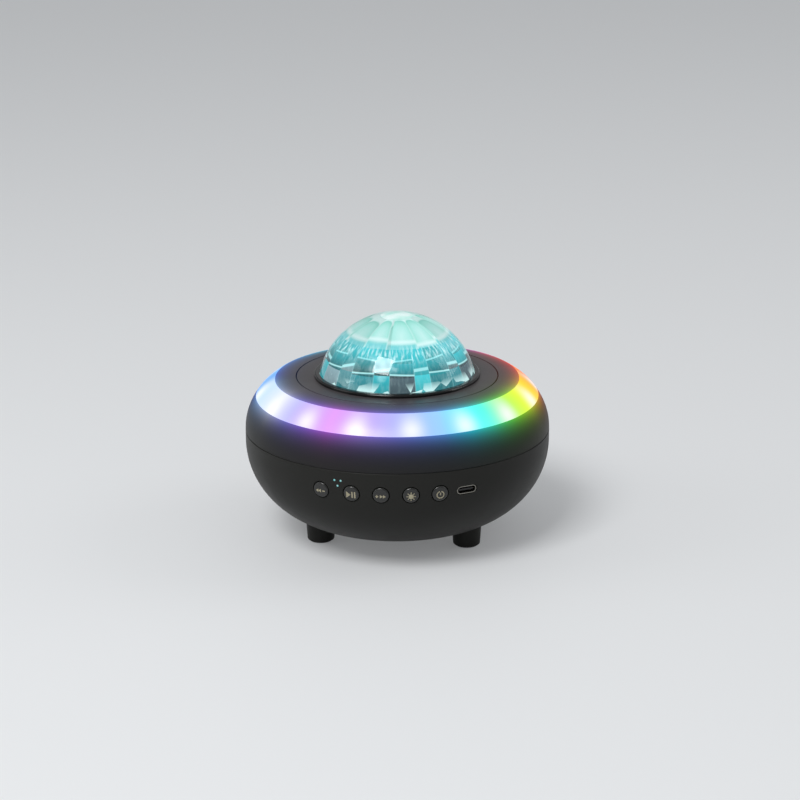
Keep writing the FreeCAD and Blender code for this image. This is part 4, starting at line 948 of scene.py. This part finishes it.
steel = metal("bare_steel", linear(150, 147, 140), 0.28, (900, 900, 3000))
zinc = metal("zinc_screw", linear(170, 172, 176), 0.3, (1500, 1500, 1500))
aluminium = metal("brushed_aluminium", linear(200, 203, 206), 0.32, (60, 4000, 4000))
dark_steel = metal("motor_steel", linear(150, 152, 155), 0.3, (400, 400, 4000))
dress(steel, "usb_shell")
dress(zinc, "housing_screws", "small_screws", "speaker_screws")
dress(aluminium, "heat_sink")
dress(dark_steel, "motor_body", "motor_shaft")
dress(metal("laser_brass", linear(196, 164, 104), 0.25, (800, 800, 3000)), "laser_barrel")
dress(metal("speaker_steel", linear(120, 122, 124), 0.4, (900, 900, 900)), "speaker_frame")
print("metals dressed")

# %% Other inner plastics
dress(plastic("switch_plastic", linear(70, 68, 66), 0.5), "switch_bodies", *["plunger_" + n for n in BUTTONS])
dress(plastic("port_tongue_plastic", linear(24, 24, 26), 0.4), "usb_tongue")
dress(plastic("ferrite", linear(58, 56, 56), 0.6, shade=0.3, grains=1500), "speaker_magnet")
dress(plastic("cone_paper", linear(52, 50, 50), 0.75, shade=0.35, grains=1200, depth=0.00006), "speaker_cone")
dress(plastic("chip_epoxy", linear(30, 30, 32), 0.45), "board_chips", "remote_eye")
dress(plastic("capacitor_sleeve", linear(40, 44, 70), 0.3), "board_capacitors")
dress(plastic("socket_nylon", linear(224, 220, 204), 0.45), "lead_sockets")
dress(plastic("deck_plastic", linear(225, 226, 222), 0.45), "optics_deck")
dress(plastic("gear_nylon", linear(232, 228, 214), 0.35), "rotor_gear", "rotor_retainer", "drive_pinion")
LEADS = ("speaker_lead", "motor_lead", "light_lead", "ring_lead")
dress(plastic("lead_sleeve", linear(150, 24, 22), 0.4), *LEADS)
print("inner plastics dressed")


# %% Boards, lamps and clear optics
def board(name, colour, trace):
    """A circuit board: paint over copper tracks that run in steps."""
    material, tree, shader = start_material(name, Roughness=0.35, Coat_Weight=0.3)
    links = {"Vector": object_place(tree), "Scale": 420.0}
    cells = add(tree, "ShaderNodeTexVoronoi", links, distance="MANHATTAN")
    mask = spread(tree, cells.outputs["Distance"], 0.55, 0.6, 0.0, 1.0)
    tree.links.new(mix_colour(tree, mask, colour, trace), shader.inputs["Base Color"])
    bump = add(tree, "ShaderNodeBump", {"Distance": 0.00003, "Height": mask})
    tree.links.new(bump.outputs[0], shader.inputs["Normal"])
    return material


def lamp(name, colour, strength):
    """A lamp that glows, with a few paler flecks."""
    material, tree, shader = start_material(name, Roughness=0.3, Emission_Strength=strength)
    fleck = spread(tree, noise(tree, object_place(tree), 900.0), 0.4, 0.6, 0.0, 0.3)
    glow = mix_colour(tree, fleck, colour, WHITE)
    tree.links.new(glow, shader.inputs["Emission Color"])
    tree.links.new(mix_colour(tree, 0.5, glow, BLACK), shader.inputs["Base Color"])
    return material


dress(board("green_board", linear(18, 74, 46), linear(30, 98, 62)), "main_board")
dress(board("white_board", linear(226, 228, 226), linear(208, 212, 210)), "ring_board", "led_board")
dress(lamp("warm_lamp", linear(255, 248, 225), 1.0), "ring_leds", "colour_leds")
dress(lamp("cyan_lamp", linear(52, 178, 180), 0.55), "status_light", "status_light_pipe")
optic, tree, shader = start_material("clear_optic", IOR=1.49, Transmission_Weight=1.0)
haze = noise(tree, object_place(tree), 300.0)
tree.links.new(spread(tree, haze, 0.3, 0.7, 0.02, 0.08), shader.inputs["Roughness"])
dress(optic, "ripple_lens", "star_grating", "laser_lens")
print("all CAD pieces dressed:", all(node.data.materials[0] for node in nodes.values()))

# %% Last import
import json
